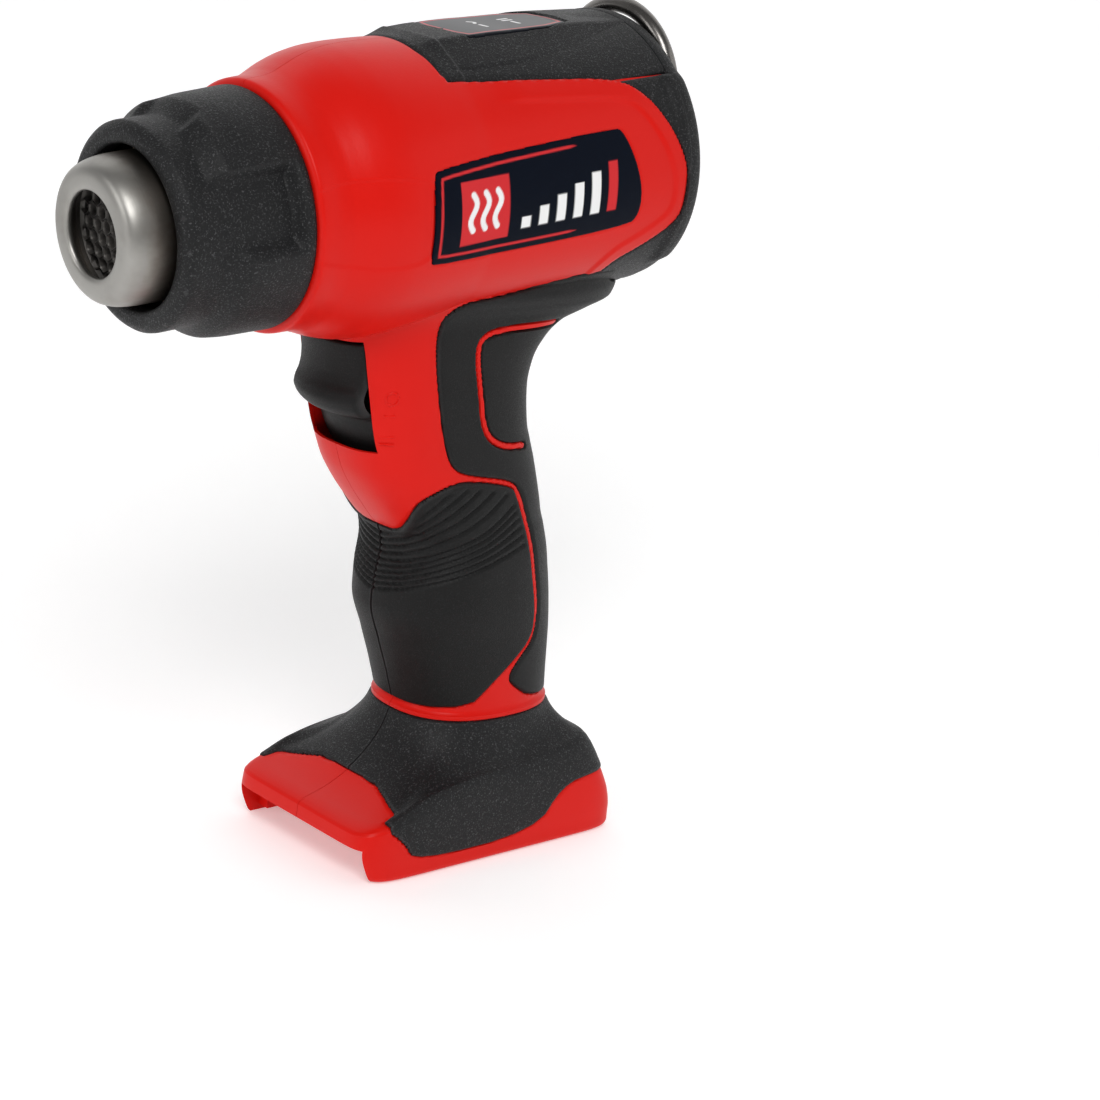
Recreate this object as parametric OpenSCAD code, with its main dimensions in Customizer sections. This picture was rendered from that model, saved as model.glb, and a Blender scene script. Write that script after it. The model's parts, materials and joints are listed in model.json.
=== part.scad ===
// Cordless hot-air gun: pistol body in two half shells, heated barrel with a
// steel nozzle, axial fan and motor, three-position slide switch, folding
// hanging ring and a slide-on battery foot.
// Row frame: +Z up, the nozzle points to -X, the tool's left side is -Y.

/* [Body] */
// Width of the battery foot
foot_w = 53; // [52:0.5:54]
// Wall thickness of the moulded shells
wall = 2.4; // [2:0.1:3]
// Thickness of the rubber overmould
skin = 1.2; // [0.8:0.1:1.5]

/* [Barrel] */
// Height of the nozzle mouth's centre above the foot
mouth_z = 150.9; // [150:0.1:152]
// Nose-down pitch of the barrel in degrees
pitch = 6; // [4:0.5:8]
// Outer radius of the steel nozzle
nozzle_r = 16; // [15.5:0.1:16.4]
// Radius of the nozzle's mouth
mouth_r = 9.2; // [8.5:0.1:10]

/* [Drive] */
// Number of fan blades
blade_count = 9; // [5:1:11]
// Tip radius of the fan
fan_r = 24.4; // [22:0.1:24.6]
// Radius of the motor can
motor_r = 13.9; // [12:0.1:14]
// Radius of the motor shaft
shaft_r = 1.15; // [1:0.05:1.5]

/* [Switch] */
// Travel of the slide switch from 0 to II
switch_travel = 7; // [5:0.5:8]

/* [Hanging ring] */
// Radius of the ring's centre line
ring_r = 17.5; // [16:0.5:19]
// Diameter of the ring's wire
ring_wire = 4; // [3:0.2:4]

/* [Hidden] */
$fn = 72;
// Row x of the nozzle mouth's centre
mouth_x = -73.1;
// Stations along the barrel axis, counted back from the mouth
collar_front = 9;
// Accessory nozzles push on as far as this station
seat_end = 22;
housing_front = 39;
cover_front = 84;
cap_front = 140;
rear_end = 144.8;
// Height above the barrel axis at which the top cover meets the housing
cover_split = 23.6;
barrel_r = 31.8;
barrel_in = barrel_r - wall;
cover_r = 32.8;
// Ring pivot, in the barrel's own frame
ring_s = 147.4;
ring_z = 14.9;
// Slide switch: centre of its face, and the lean of its track
switch_x = -8;
switch_z = 113;
switch_lean = 10;
face_r = 24;
// The slider's shutter: depth behind the face, and its two ends
shutter_x = 4.5;
shutter_low = -14.6;
shutter_high = 20.4;
// Handle sections: height, centre x, half depth, half width
grip_low = [[32, 40.4, 20.4, 17.2], [46, 37.8, 22.6, 17.7], [63, 34.3, 23.9, 19], [74, 33.4, 22.6, 19.4]];
grip_high = [[74, 33.4, 22.6, 19.4], [86, 27.3, 23.9, 19], [92, 23.9, 24.9, 18.8], [99, 20.6, 24.8, 18.6],
    [118, 16.6, 26, 18.6], [137, 14.4, 27.6, 18.2]];
half_w = foot_w / 2;
// Ends of the foot, and the thickness of its side walls beside the battery
foot_front = -7;
foot_rear = 73.5;
skirt_wall = 2.9;
red = "firebrick";
black = "dimgray";
gap = 0.1;

function oval(a, b, p = 2.6, n = 36) = [for (i = [0:n - 1])
    let (t = 360 * i / n, c = cos(t), s = sin(t))
    [a * sign(c) * pow(abs(c), 2 / p), b * sign(s) * pow(abs(s), 2 / p)]];

// Children are placed along the barrel axis: +X is the distance back from the mouth
module barrel_frame() translate([mouth_x, 0, mouth_z]) rotate([0, -pitch, 0]) children();
// Profile points are [radius, station]
module turned(points, n = 72) barrel_frame() rotate([0, 90, 0]) rotate_extrude($fn = n) polygon(points);
module ring_part(s0, s1, r_out, r_in) barrel_frame() translate([s0, 0, 0]) rotate([0, 90, 0])
    difference() {
        cylinder(h = s1 - s0, r = r_out);
        if (r_in > 0)
            translate([0, 0, -1]) cylinder(h = s1 - s0 + 2, r = r_in);
    }
module barrel_box(s0, s1, y0, y1, z0, z1) barrel_frame()
    translate([s0, y0, z0]) cube([s1 - s0, y1 - y0, z1 - z0]);
module row_box(x0, x1, y0, y1, z0, z1) translate([x0, y0, z0]) cube([x1 - x0, y1 - y0, z1 - z0]);
module side(left) if (left) row_box(-100, 100, -100, 0, -20, 220); else row_box(-100, 100, 0, 100,
    -20, 220);

// One closed solid through a list of handle sections, drawn in by an inset
module loft(sections, inset) hull() for (k = sections)
    translate([k[1], 0, k[0] - 0.01]) linear_extrude(0.02) polygon(oval(k[2] - inset, k[3] - inset));
// Web that runs out from the back of the handle to the rear of the barrel
module web(inset) rotate([90, 0, 0]) translate([0, 0, inset - 14]) linear_extrude(28 - 2 * inset)
    polygon([[30, 110], [41 - inset, 110], [41 - inset, 115], [42.6 - inset, 120], [46.4 - inset, 125
        + inset], [52, 128.4 + inset], [58, 130 + inset], [69.4 - inset, 132.6 + inset], [70 - inset,
        141], [30, 141]]);
module handle(inset) {
    loft(grip_low, inset);
    loft(grip_high, inset);
    web(inset);
}
module plate_outline(x0, x1, w, r) polygon([for (q = [[x1 - r, w - r, 0], [x0 + r, w - r, 90],
    [x0 + r, r - w, 180], [x1 - r, r - w, 270]], t = [0:15:90])
    [q[0] + r * cos(q[2] + t), q[1] + r * sin(q[2] + t)]]);
// Sloping shoulder of the foot, from the skirt up to the neck
module foot_shoulder(grow) hull() {
    translate([0, 0, 8]) linear_extrude(4) plate_outline(foot_front, foot_rear, half_w, 5);
    translate([0, 0, 19]) linear_extrude(0.1) plate_outline(5 - grow, 68 + grow, 23.5 + grow, 6);
    translate([40.4, 0, 32]) linear_extrude(0.1) polygon(oval(20.4 + grow, 17.2 + grow));
}
// Areas of the handle that carry rubber, seen from the side
module front_grip_area() rotate([90, 0, 0]) translate([0, 0, -40]) linear_extrude(80)
    polygon([[8, 33.5], [8, 76.4], [14.5, 77.5], [7.9, 87.8], [16.2, 92.5], [34.6, 89.6], [41, 78],
        [46.6, 57], [46, 50.6], [38.6, 43.4], [28.6, 33.5]]);
module rear_grip_area() rotate([90, 0, 0]) translate([0, 0, -40]) linear_extrude(80)
    polygon([[53, 33.5], [41.2, 41.6], [48.2, 48.8], [49.2, 57], [42.8, 78.4], [37.2, 90.2], [17, 96],
        [14, 99], [8, 123], [9.2, 133], [57, 141.6], [80, 141.6], [80, 33.5]]);
// Screws in the side of the housing: [x, z]
function on_barrel(s, h) = [mouth_x + s * cos(pitch) - h * sin(pitch),
    mouth_z + s * sin(pitch) + h * cos(pitch)];
screw_places = [on_barrel(53.5, -23.8), on_barrel(53.5, 23.8), on_barrel(129.5, -24.6), [34, 98],
    [25, 61], [45, 47], [64, 18]];
head_seat = 9;
module screw_bosses() for (p = screw_places)
    translate([p[0], 0, p[1]]) rotate([-90, 0, 0]) {
        translate([0, 0, -20]) cylinder(h = 40, r = 3);
        // cup round the screw's head in the right half
        translate([0, 0, head_seat - 1.6]) cylinder(h = 12, r = 4.2);
    }

module housing_solid() {
    difference() {
        union() {
            turned([[0, housing_front], [26.2, housing_front], [27.1, 40.4], [29.1, 49], [31.8, 57],
                [32.5, 63], [32.5, 70], [barrel_r, cover_front], [barrel_r, cap_front - gap],
                [0, cap_front - gap]]);
            difference() {
                handle(0);
                front_grip_area();
                rear_grip_area();
            }
            handle(skin);
            foot_shoulder(0);
            // battery skirt, open to the front and below
            linear_extrude(8.1) plate_outline(foot_front + 2.5, foot_rear, half_w, 5);
        }
        // inside of the barrel
        turned([[0, 36], [24.4, 36], [24.4, 49], [26.8, 50], [barrel_in, 58], [barrel_in, 144], [0,
            144]]);
        // inside of the grip
        intersection() {
            handle(skin + wall);
            row_box(-40, 90, -30, 30, 28, 146);
        }
        // hollow of the shoulder above the battery
        row_box(24, 62, -13, 13, 10.5, 24);
        row_box(27, 55, -12, 12, 20, 38);
        // battery bay between the rails, and the seat of the terminal block
        row_box(-40, foot_rear - 6, skirt_wall - half_w, half_w - skirt_wall, -1, 8.2);
        row_box(30 - gap, 62 + gap, -14.6 - gap, 14.6 + gap, 7, 10.6);
        // opening for the top cover
        barrel_box(cover_front, 150, -40, 40, cover_split, 50);
        // window of the slide switch, and the pocket that its shutter slides in
        switch_frame() translate([-14, -12, -14]) cube([23, 24, 27]);
        switch_frame() translate([shutter_x - 0.3, -12, shutter_low - switch_travel - 0.6])
            cube([6, 24, shutter_high - shutter_low + switch_travel + 1.2]);
    }
    for (side_y = [-1, 1]) {
        // rails that the battery's grooves slide on
        translate([0, side_y * 22, 0]) row_box(0, foot_rear - 6, -1.7, 1.7, 1.4, 3.6);
        // ribs that hold the switch body
        switch_frame() translate([12, side_y * 12.5 - 4.4, -12]) cube([2.4, 8.8, 20]);
    }
    // rib that holds the heater flange
    difference() {
        ring_part(59.6, 61.6, barrel_in + 0.3, 22);
        barrel_box(50, 70, -40, 40, -40, -21);
    }
    intersection() {
        screw_bosses();
        union() {
            turned([[0, 45], [27, 45], [29.6, 57], [barrel_in + 0.3, 58], [barrel_in + 0.3, 136],
                [0, 136]]);
            row_box(-12, 70, -15, 15, 10.4, 106);
        }
    }
}
module housing_half(left) difference() {
    intersection() {
        housing_solid();
        side(left);
    }
    for (p = screw_places)
        translate([p[0], 40, p[1]]) rotate([90, 0, 0]) {
            cylinder(h = 50, r = left ? 1.3 : 1.8);
            if (!left)
                cylinder(h = 40 - head_seat, r = 3.1);
        }
}
module housing_left() color(red) housing_half(true);
module housing_right() color(red) housing_half(false);

module nozzle_collar() color(black) turned([[17.4, collar_front + 1], [18.2, collar_front],
    [20.6, collar_front], [21.9, collar_front + 1.6], [22.4, 13.5], [22.4, 18], [25.4, 22],
    [26.1, 32], [26.2, housing_front - gap], [24.2, housing_front - gap], [24.2, 48.5], [21.8, 48.5],
    [21.8, 24], [19.6, 20], [19.6, 13], [17.4, 13]]);
module nozzle_tube() color("silver") turned([[mouth_r, 0.6], [9.8, 0], [12.8, 0.2], [14.6, 1.1], [15.6, 3.2],
    [nozzle_r, 7], [nozzle_r, seat_end], [nozzle_r - 0.5, seat_end], [nozzle_r - 0.5, 62],
    [nozzle_r - 1, 62], [nozzle_r - 1, 5.8], [14.6, 4.4], [13.4, 2.6], [12, 1.4], [mouth_r, 1.4]]);
module outlet_honeycomb() color("gray") difference() {
    ring_part(6, 15, 14.9, 0);
    barrel_frame() rotate([0, 90, 0]) translate([0, 0, 5]) for (i = [-3:3], j = [-3:3])
        if (abs(i + j) < 4)
            translate([3.6 * (i + j / 2), 3.12 * j, 0]) rotate(30) cylinder(h = 12, r = 1.85, $fn = 6);
}
module mica_sleeve() color("wheat") ring_part(16, 61, 14.8, 14.2);
module heater_former() color("tan") union() {
    barrel_box(17, 60, -11.6, 11.6, -0.4, 0.4);
    barrel_box(17, 60, -0.4, 0.4, -11.6, 11.6);
    ring_part(15.2, 17, 13.9, 11);
    ring_part(60, 61.5, 13.9, 9);
}
// Resistance wire wound as a helix round the former
coil_turns = 9;
coil_steps = 20;
coil_sides = 5;
coil_r = 12.6;
coil_wire = 0.5;
module heating_coil() color("lightgray") barrel_frame() helix();
module helix() {
    n = coil_turns * coil_steps;
    points = [for (i = [0:n], k = [0:coil_sides - 1])
        let (a = 360 * i / coil_steps, b = 360 * k / coil_sides, r = coil_r + coil_wire * cos(b))
        [20 + 37 * i / n + coil_wire * sin(b), r * cos(a), r * sin(a)]];
    side_faces = [for (i = [0:n - 1], k = [0:coil_sides - 1])
        let (a = i * coil_sides + k, b = i * coil_sides + (k + 1) % coil_sides)
        [a, b, b + coil_sides, a + coil_sides]];
    ends = [[for (k = [coil_sides - 1:-1:0]) k], [for (k = [0:coil_sides - 1]) n * coil_sides + k]];
    polyhedron(points, concat(side_faces, ends));
}
module heater_flange() color("ivory") union() {
    ring_part(58.5, 62.1, 21.9, nozzle_r - 0.45);
    ring_part(62.1, 66, 21.9, 13);
}
module thermal_cutout() color("silver") barrel_frame() translate([61.5, 3, 8.2]) rotate([0, 90, 0])
    cylinder(h = 9, r = 2);
module heat_shield() color("gainsboro") ring_part(22, 58.3, 20.6, 20.1);
module fan_duct() color(black) turned([[13.2, 66.1], [21.9, 66.1], [21.9, 68], [26.6, 79], [26.6, 99],
    [25.2, 99], [25.2, 80], [15, 69], [13.2, 69]]);

module fan_impeller() color("darkgray") union() {
    ring_part(85, 96, 7, shaft_r);
    for (i = [0:blade_count - 1])
        barrel_frame() rotate([360 * i / blade_count, 0, 0]) translate([90.5, 0, 0]) rotate([0, 0, 38])
            translate([-0.6, -6.4, 5.5]) cube([1.2, 12.8, fan_r - 6.4]);
}
module motor_shaft() color("silver") ring_part(84.4, 137, shaft_r, 0);
module motor_armature() color("saddlebrown") union() {
    ring_part(104.5, 121, 10, shaft_r);
    ring_part(121, 127, 5, shaft_r);
}
module motor_can() color("silver") difference() {
    ring_part(98.5, 129, motor_r, 0);
    ring_part(101, 130, motor_r - 1.2, 0);
    ring_part(97, 130, shaft_r + 0.05, 0);
}
module motor_magnets() color("dimgray") for (turn = [0, 180])
    barrel_frame() translate([104, 0, 0]) rotate([turn, 0, 0]) rotate([0, 90, 0]) rotate([0, 0, -55])
        rotate_extrude(angle = 110) translate([10.6, 0]) square([motor_r - 1.25 - 10.6, 17]);
module motor_end_bell() color("black") difference() {
    union() {
        ring_part(129.1, 131.6, motor_r, shaft_r + 0.05);
        ring_part(126.6, 129.1, motor_r - 1.25, motor_r - 3);
        ring_part(131.6, 133.6, 4, shaft_r + 0.05);
    }
    // slots that the brush tags pass through
    for (side_y = [-1, 1])
        barrel_frame() translate([126, side_y * 8 - 1.5, -1.5]) cube([8, 3, 3]);
}
module motor_brushes() color("darkorange") for (side_y = [-1, 1])
    union() {
        barrel_frame() translate([122.6, side_y * 7.2 - 2, -1.4]) cube([3.8, 4, 2.8]);
        barrel_frame() translate([126.4, side_y * 8 - 1.3, -1.3]) cube([8.6, 2.6, 2.6]);
    }
// Holder that hangs the motor in the housing on three arms
module motor_carrier() color(black) difference() {
    intersection() {
        union() {
            ring_part(104, 114, 17, 0);
            barrel_box(105, 113, -35, 35, -3, 3);
            barrel_box(105, 113, -3, 3, -35, 0);
        }
        ring_part(100, 120, barrel_in - 0.05, 0);
    }
    ring_part(100, 120, motor_r + 0.02, 0);
}
module control_board() color("darkgreen") barrel_box(104, 134, -13, 13, 19.6, 21.2);
module board_components() color("gray") union() {
    barrel_box(123, 131, -9, 1, 21.2, 24.4);
    barrel_box(124, 129, 4, 10, 21.2, 23.2);
    barrel_box(117, 121, -10, -4, 21.2, 23);
    for (k = [0, 1])
        barrel_frame() translate([107 + 7 * k, -9.5, 17]) cylinder(h = 2.6, r = 2.4);
}
module status_leds() color("white") for (s = [108, 115])
    barrel_frame() translate([s, 2, 21.2]) {
        cylinder(h = 8.6, r = 1.4);
        cylinder(h = 2, r = 2);
    }
module top_cover() color(black) difference() {
    intersection() {
        turned([[0, cover_front + gap], [32, cover_front + gap], [cover_r, 87], [cover_r, 97], [32.2,
            120], [31.8, cap_front - gap], [0, cap_front - gap]]);
        barrel_box(cover_front, 140, -40, 40, cover_split + gap, 40);
    }
    ring_part(80, 150, 30, 0);
    barrel_box(92.9, 124.1, -9.1, 9.1, 31.2, 40);
    for (s = [108, 115])
        barrel_frame() translate([s, 2, 20]) cylinder(h = 20, r = 1.5);
}
module status_panel() color("midnightblue") barrel_box(93, 124, -9, 9, 31.2, 31.7);
// Rear cap: a bumper ring with slots for the air that the fan draws in
module rear_cap() color(black) difference() {
    union() {
        turned([[0, 142.4], [27.2, 142.4], [27.2, 134.4], [29.3, 134.4], [29.3, cap_front],
            [barrel_r, cap_front], [barrel_r + 0.3, 142], [31.6, 143.8], [30.4, rear_end], [0,
                rear_end]]);
        for (side_y = [-1, 1])
            barrel_frame() translate([144, side_y * 11.8 - 1.7, ring_z - 3.4]) cube([5.2, 3.4, 6.8]);
    }
    for (k = [-5:4])
        barrel_frame() translate([140, -20 + abs(k), 3.6 * k - 7 - 1.1]) cube([12, 40 - 2 * abs(k), 2.2]);
    // pivot hole of the hanging ring
    barrel_frame() translate([ring_s, 20, ring_z]) rotate([90, 0, 0]) cylinder(h = 40, r = ring_wire /
        4 + 0.05);
}
module intake_screen() color("silver") ring_part(141.6, 142.3, 27.1, 0);
// The ring stands up behind the cover; its thin ends turn inwards in the cap's lugs
module hanging_ring() color("silver") barrel_frame() translate([ring_s, 0, ring_z]) union() {
    rotate([0, 90, 0]) rotate([0, 0, 90]) rotate_extrude(angle = 180)
        translate([ring_r, 0]) circle(r = ring_wire / 2);
    for (side_y = [-1, 1]) {
        translate([0, side_y * ring_r, 0]) sphere(r = ring_wire / 2);
        translate([0, side_y * 14 + 4, 0]) rotate([90, 0, 0]) cylinder(h = 8, r = ring_wire / 4);
    }
}

module switch_frame() translate([switch_x, 0, switch_z]) rotate([0, -switch_lean, 0]) children();
// Curved bar whose face lies at x, between two heights on the track
module face_bar(x, thick, z0, z1) intersection() {
    translate([face_r + x, 0, z0]) difference() {
        cylinder(h = z1 - z0, r = face_r);
        translate([0, 0, -1]) cylinder(h = z1 - z0 + 2, r = face_r - thick);
    }
    translate([-8, -11.6, z0]) cube([18, 23.2, z1 - z0]);
}
module switch_slider() color("black") switch_frame() union() {
    face_bar(-1, shutter_x + 1.2, -6, 11.4);
    face_bar(shutter_x, 1.5, shutter_low, shutter_high);
    intersection() {
        translate([0.6, 12, 0]) rotate([90, 0, 0]) cylinder(h = 24, r = 4.4);
        translate([-8, -11.6, -5]) cube([8.6, 23.2, 10]);
    }
}
module switch_plunger() color("ivory") switch_frame() translate([4, -3, -3]) cube([7.2, 6, 6]);
module switch_body() color("darkslategray") switch_frame() difference() {
    translate([8.2, -8, -16.5]) cube([13.8, 16, 29]);
    translate([7, -3.4, -3.4 - switch_travel]) cube([4.6, 6.8, 6.8 + switch_travel]);
}
module switch_detent() color("silver") switch_frame() union() {
    translate([7.2, -6.2, -16]) cube([0.9, 2.4, 26]);
    translate([7.2, 3.8, -16]) cube([0.9, 2.4, 26]);
}

module grip_skin(left) intersection() {
    difference() {
        handle(0);
        handle(skin);
    }
    side(left);
    difference() {
        row_box(-50, 90, -40, 40, 26, 146);
        ring_part(30, 150, barrel_r, 0);
    }
    children();
}
module front_grip_left() color(black) grip_skin(true) front_grip_area();
module front_grip_right() color(black) grip_skin(false) front_grip_area();
module rear_grip_left() color(black) grip_skin(true) rear_grip_area();
module rear_grip_right() color(black) grip_skin(false) rear_grip_area();
module foot_cover(left) color(black) intersection() {
    difference() {
        foot_shoulder(1);
        foot_shoulder(0);
        handle(0);
    }
    side(left);
    row_box(7, 80, -half_w, half_w, 12.6, 32);
}
module foot_cover_left() foot_cover(true);
module foot_cover_right() foot_cover(false);
module terminal_block() color("black") difference() {
    row_box(30, 62, -14.6, 14.6, 3.2, 10.4);
    for (k = [-1, 0, 1])
        translate([29, 9.5 * k - 1.6, 2]) cube([26, 3.2, 7]);
}
module terminal_blades() color("goldenrod") for (k = [-1, 0, 1])
    row_box(33, 55, 9.5 * k - 0.5, 9.5 * k + 0.5, 3.6, 9);

module label_plate(side_y) color("midnightblue") intersection() {
    turned([[32.52, 62], [32.52, 70], [barrel_r + 0.02, cover_front], [barrel_r + 0.02, 130],
        [barrel_r + 0.4, 130], [barrel_r + 0.4, cover_front], [32.9, 70], [32.9, 62]]);
    barrel_box(65, 126, min(0, 40 * side_y), max(0, 40 * side_y), -10, 10);
}
module label_left() label_plate(-1);
module label_right() label_plate(1);
// Screws enter from the right side and bite in the left half's bosses
module housing_screws() color("silver") for (p = screw_places)
    translate([p[0], 0, p[1]]) rotate([-90, 0, 0]) {
        translate([0, 0, -9]) cylinder(h = 9.1 + head_seat, r = 1.3);
        translate([0, 0, head_seat]) cylinder(h = 2.2, r = 2.8);
    }

// Insulated leads: eight-sided tubes swept along hand-chosen points
module tube(route, r) {
    n = len(route);
    points = [for (i = [0:n - 1], k = [0:7])
        let (d = route[min(i + 1, n - 1)] - route[max(i - 1, 0)], u = d / norm(d),
            v = cross(u, [0, 1, 0.02]), e = v / norm(v), f = cross(u, e))
        route[i] + r * (cos(45 * k) * e + sin(45 * k) * f)];
    polyhedron(points, concat([for (i = [0:n - 2], k = [0:7])
        [8 * i + k, 8 * i + (k + 1) % 8, 8 * i + 8 + (k + 1) % 8, 8 * i + 8 + k]],
        [[for (k = [7:-1:0]) k], [for (k = [0:7]) 8 * (n - 1) + k]]));
}
battery_route = [[40, 4, 10.6], [40, 4, 20], [40, 4, 32], [39, 4, 42], [37, 4, 54], [34, 4, 66], [31,
    4, 74], [26, 4, 82], [19, 4, 88], [14, 4, 93], [12.4, 4, 96], [12.4, 4, 99.6]];
control_route = [[4.6, 6, 127.97], [4.34, 6, 129.4], [6.5, 6, 130.9], [11, 6, 131.2], [16, 6, 131.4],
    [24, 7, 132.2], [31, 8.5, 134], [37, 11, 137.4], [41.4, 15, 142], [43.6, 19.5, 149], [44.4, 22.4,
        157], [44.6, 23, 164], [44.6, 21.6, 171], [44.4, 18.4, 177], [44.2, 14.6, 180.6], [44, 11.4,
        182]];
// These two are in the barrel's frame
heater_route = [[104, 11, 20.4], [103.2, 11, 20.4], [102.2, 13, 21.2], [100.9, 16, 21.6], [99.4, 18.6,
    21], [96, 19.8, 20], [90, 19.8, 20], [84, 19.8, 20], [78, 19.7, 19.9], [72, 19, 19.2], [68.4, 18,
    18], [66, 17, 17], [64.2, 16.3, 16.3]];
motor_route = [[134, 7, 20.4], [135, 7, 20.4], [136.6, 7, 19.8], [138, 7.2, 17.6], [138.6, 7.6, 12],
    [138.4, 8, 5.6], [137.8, 8, 2], [136.4, 8, 0], [135.02, 8, 0]];
module pair(route, r) for (side_y = [-1, 1])
    tube([for (q = route) [q[0], side_y * q[1], q[2]]], r);
module battery_leads() color("red") pair(battery_route, 1.2);
module control_leads() color("white") pair(control_route, 0.8);
module heater_leads() color("white") barrel_frame() pair(heater_route, 0.8);
module motor_leads() color("navy") barrel_frame() pair(motor_route, 0.8);

housing_left();
housing_right();
nozzle_collar();
nozzle_tube();
outlet_honeycomb();
mica_sleeve();
heater_former();
heating_coil();
heater_flange();
thermal_cutout();
heat_shield();
fan_duct();
fan_impeller();
motor_shaft();
motor_armature();
motor_can();
motor_magnets();
motor_end_bell();
motor_brushes();
motor_carrier();
control_board();
board_components();
status_leds();
top_cover();
status_panel();
rear_cap();
intake_screen();
hanging_ring();
switch_slider();
switch_plunger();
switch_body();
switch_detent();
front_grip_left();
front_grip_right();
rear_grip_left();
rear_grip_right();
foot_cover_left();
foot_cover_right();
terminal_block();
terminal_blades();
label_left();
label_right();
housing_screws();
battery_leads();
control_leads();
heater_leads();
motor_leads();
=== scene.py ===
"""Looks of a cordless hot-air gun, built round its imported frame.

Lengths in the code are in millimetres in the row frame: +Z up, the nozzle
points to -X and the tool's left side is -Y.  A barrel point is written with its
station s along the barrel's axis from the nozzle's mouth, and its height h or
radius r from that axis.
"""

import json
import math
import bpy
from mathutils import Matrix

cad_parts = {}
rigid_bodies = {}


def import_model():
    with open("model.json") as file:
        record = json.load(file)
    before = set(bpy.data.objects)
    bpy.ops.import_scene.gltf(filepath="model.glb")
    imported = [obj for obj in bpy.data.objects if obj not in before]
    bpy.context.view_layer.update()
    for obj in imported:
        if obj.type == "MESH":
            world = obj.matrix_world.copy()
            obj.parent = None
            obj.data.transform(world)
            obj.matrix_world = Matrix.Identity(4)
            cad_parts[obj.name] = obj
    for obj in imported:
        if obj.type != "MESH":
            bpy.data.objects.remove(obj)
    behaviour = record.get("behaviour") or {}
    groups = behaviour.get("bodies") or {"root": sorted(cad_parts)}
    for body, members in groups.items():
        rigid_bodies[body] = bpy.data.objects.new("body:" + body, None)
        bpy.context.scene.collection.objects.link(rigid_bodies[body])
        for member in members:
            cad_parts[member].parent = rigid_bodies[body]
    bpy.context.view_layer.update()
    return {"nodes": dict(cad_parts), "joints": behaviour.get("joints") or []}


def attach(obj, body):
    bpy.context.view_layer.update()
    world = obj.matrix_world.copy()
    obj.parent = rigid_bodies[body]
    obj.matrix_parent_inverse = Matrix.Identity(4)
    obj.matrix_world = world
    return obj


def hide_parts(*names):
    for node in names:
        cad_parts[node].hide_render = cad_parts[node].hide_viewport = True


bl_info = {
    "name": "Heat Gun Looks",
    "version": (1, 0, 0),
    "blender": (4, 5, 0),
    "location": "3D Viewport > Sidebar > Heat Gun",
    "description": "Builds the visible surfaces of the heat gun round its frame",
    "category": "Add Mesh",
}

import bpy
import numpy as np
from bpy.props import FloatProperty, FloatVectorProperty, PointerProperty
from mathutils import Matrix, Vector

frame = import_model()


# ---------------------------------------------------------------- the frame

def joint(name):
    """The joint of that name in the frame."""
    for entry in frame["joints"]:
        if entry["name"] == name:
            return entry
    raise RuntimeError("the frame has no joint named " + name)


def barrel_line():
    """Mouth and unit axis of the barrel.

    The axis is the fan's.  The mouth is the point of that axis level with the
    nozzle's foremost vertex.
    """
    axis = np.array(joint("fan_spin")["axis"], float)
    axis /= np.linalg.norm(axis)
    point = np.array(joint("fan_spin")["pos_m"], float) * 1000
    tube = np.array([v.co for v in frame["nodes"]["nozzle_tube"].data.vertices]) * 1000
    return point + ((tube - point) @ axis).min() * axis, axis


MOUTH, AXIS = barrel_line()
UP = np.array([-AXIS[2], 0.0, AXIS[0]])
ACROSS = np.array([0.0, 1.0, 0.0])

# Handle sections: height, front x, rear x, half width, squareness
HANDLE = np.array([
    [31, 19.6, 61.0, 17.2, 2.4], [33, 19.5, 61.0, 17.2, 2.4], [39.8, 17.6, 60.6, 17.5, 2.4],
    [49.8, 13.8, 60.2, 17.9, 2.4], [59.8, 10.5, 58.7, 18.8, 2.4], [66, 10.7, 57.3, 19.0, 2.4],
    [72.8, 11.8, 55.4, 19.3, 2.4], [77.5, 11.0, 53.8, 19.3, 2.4], [80, 8.5, 53.0, 19.2, 2.4],
    [84, 5.0, 51.8, 19.1, 2.5], [89, 1.0, 50.3, 18.9, 2.6], [94, -2.2, 48.6, 18.7, 2.7],
    [99, -4.2, 46.5, 18.6, 2.8], [103, -5.6, 44.9, 18.5, 2.9], [113, -8.0, 43.5, 18.4, 3],
    [119, -9.5, 44.8, 18.3, 3], [124.4, -11, 48.6, 18.3, 3], [128.3, -13, 54.4, 18.4, 3],
    [130.6, -16, 62, 18.8, 3], [133, -20, 68.5, 19.8, 3], [136, -22, 69, 21.0, 3],
    [146, -20, 66, 20, 3]])
# Outlines in the side view, as x and height
FRONT_GRIP = [(-20, 33.8), (-20, 77), (11, 77), (9, 82), (8.2, 87), (10, 89.6), (16.2, 92.8),
    (24, 92.4), (34.4, 90), (36, 87.9), (40.4, 78), (44.7, 65), (46.8, 57), (47, 50.7),
    (40.3, 44.8), (34.6, 40.1), (28.9, 33.8)]
REAR_GRIP = [(80, 137), (60, 136), (59.1, 140.6), (55, 141.8), (30.8, 137.7), (19, 136.1),
    (13.2, 135.6), (9.1, 133.6), (7.6, 129.2), (7.8, 122.3), (10.6, 108.2), (13.8, 98.4),
    (16.6, 95.3), (21.2, 93.8), (33.7, 91.5), (37.2, 88.6), (41.7, 78.3), (46, 65.3),
    (48, 57.4), (47.7, 49.9), (42.8, 45.6), (39.9, 41.5), (41.5, 39), (50, 33.8), (80, 33.8)]
INLAY = [(44.3, 128), (26.4, 128), (20.6, 126.6), (19.6, 122.9), (21.6, 114), (23.8, 104),
    (29.4, 100), (38.1, 99)]
LABEL = [(-9.1, 166.4), (-7.2, 168.4), (44.2, 175.6), (46.8, 174.7), (52.2, 163.6),
    (53.7, 155.6), (50.7, 152.7), (-6.1, 146.8), (-7.6, 148.2)]
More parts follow.
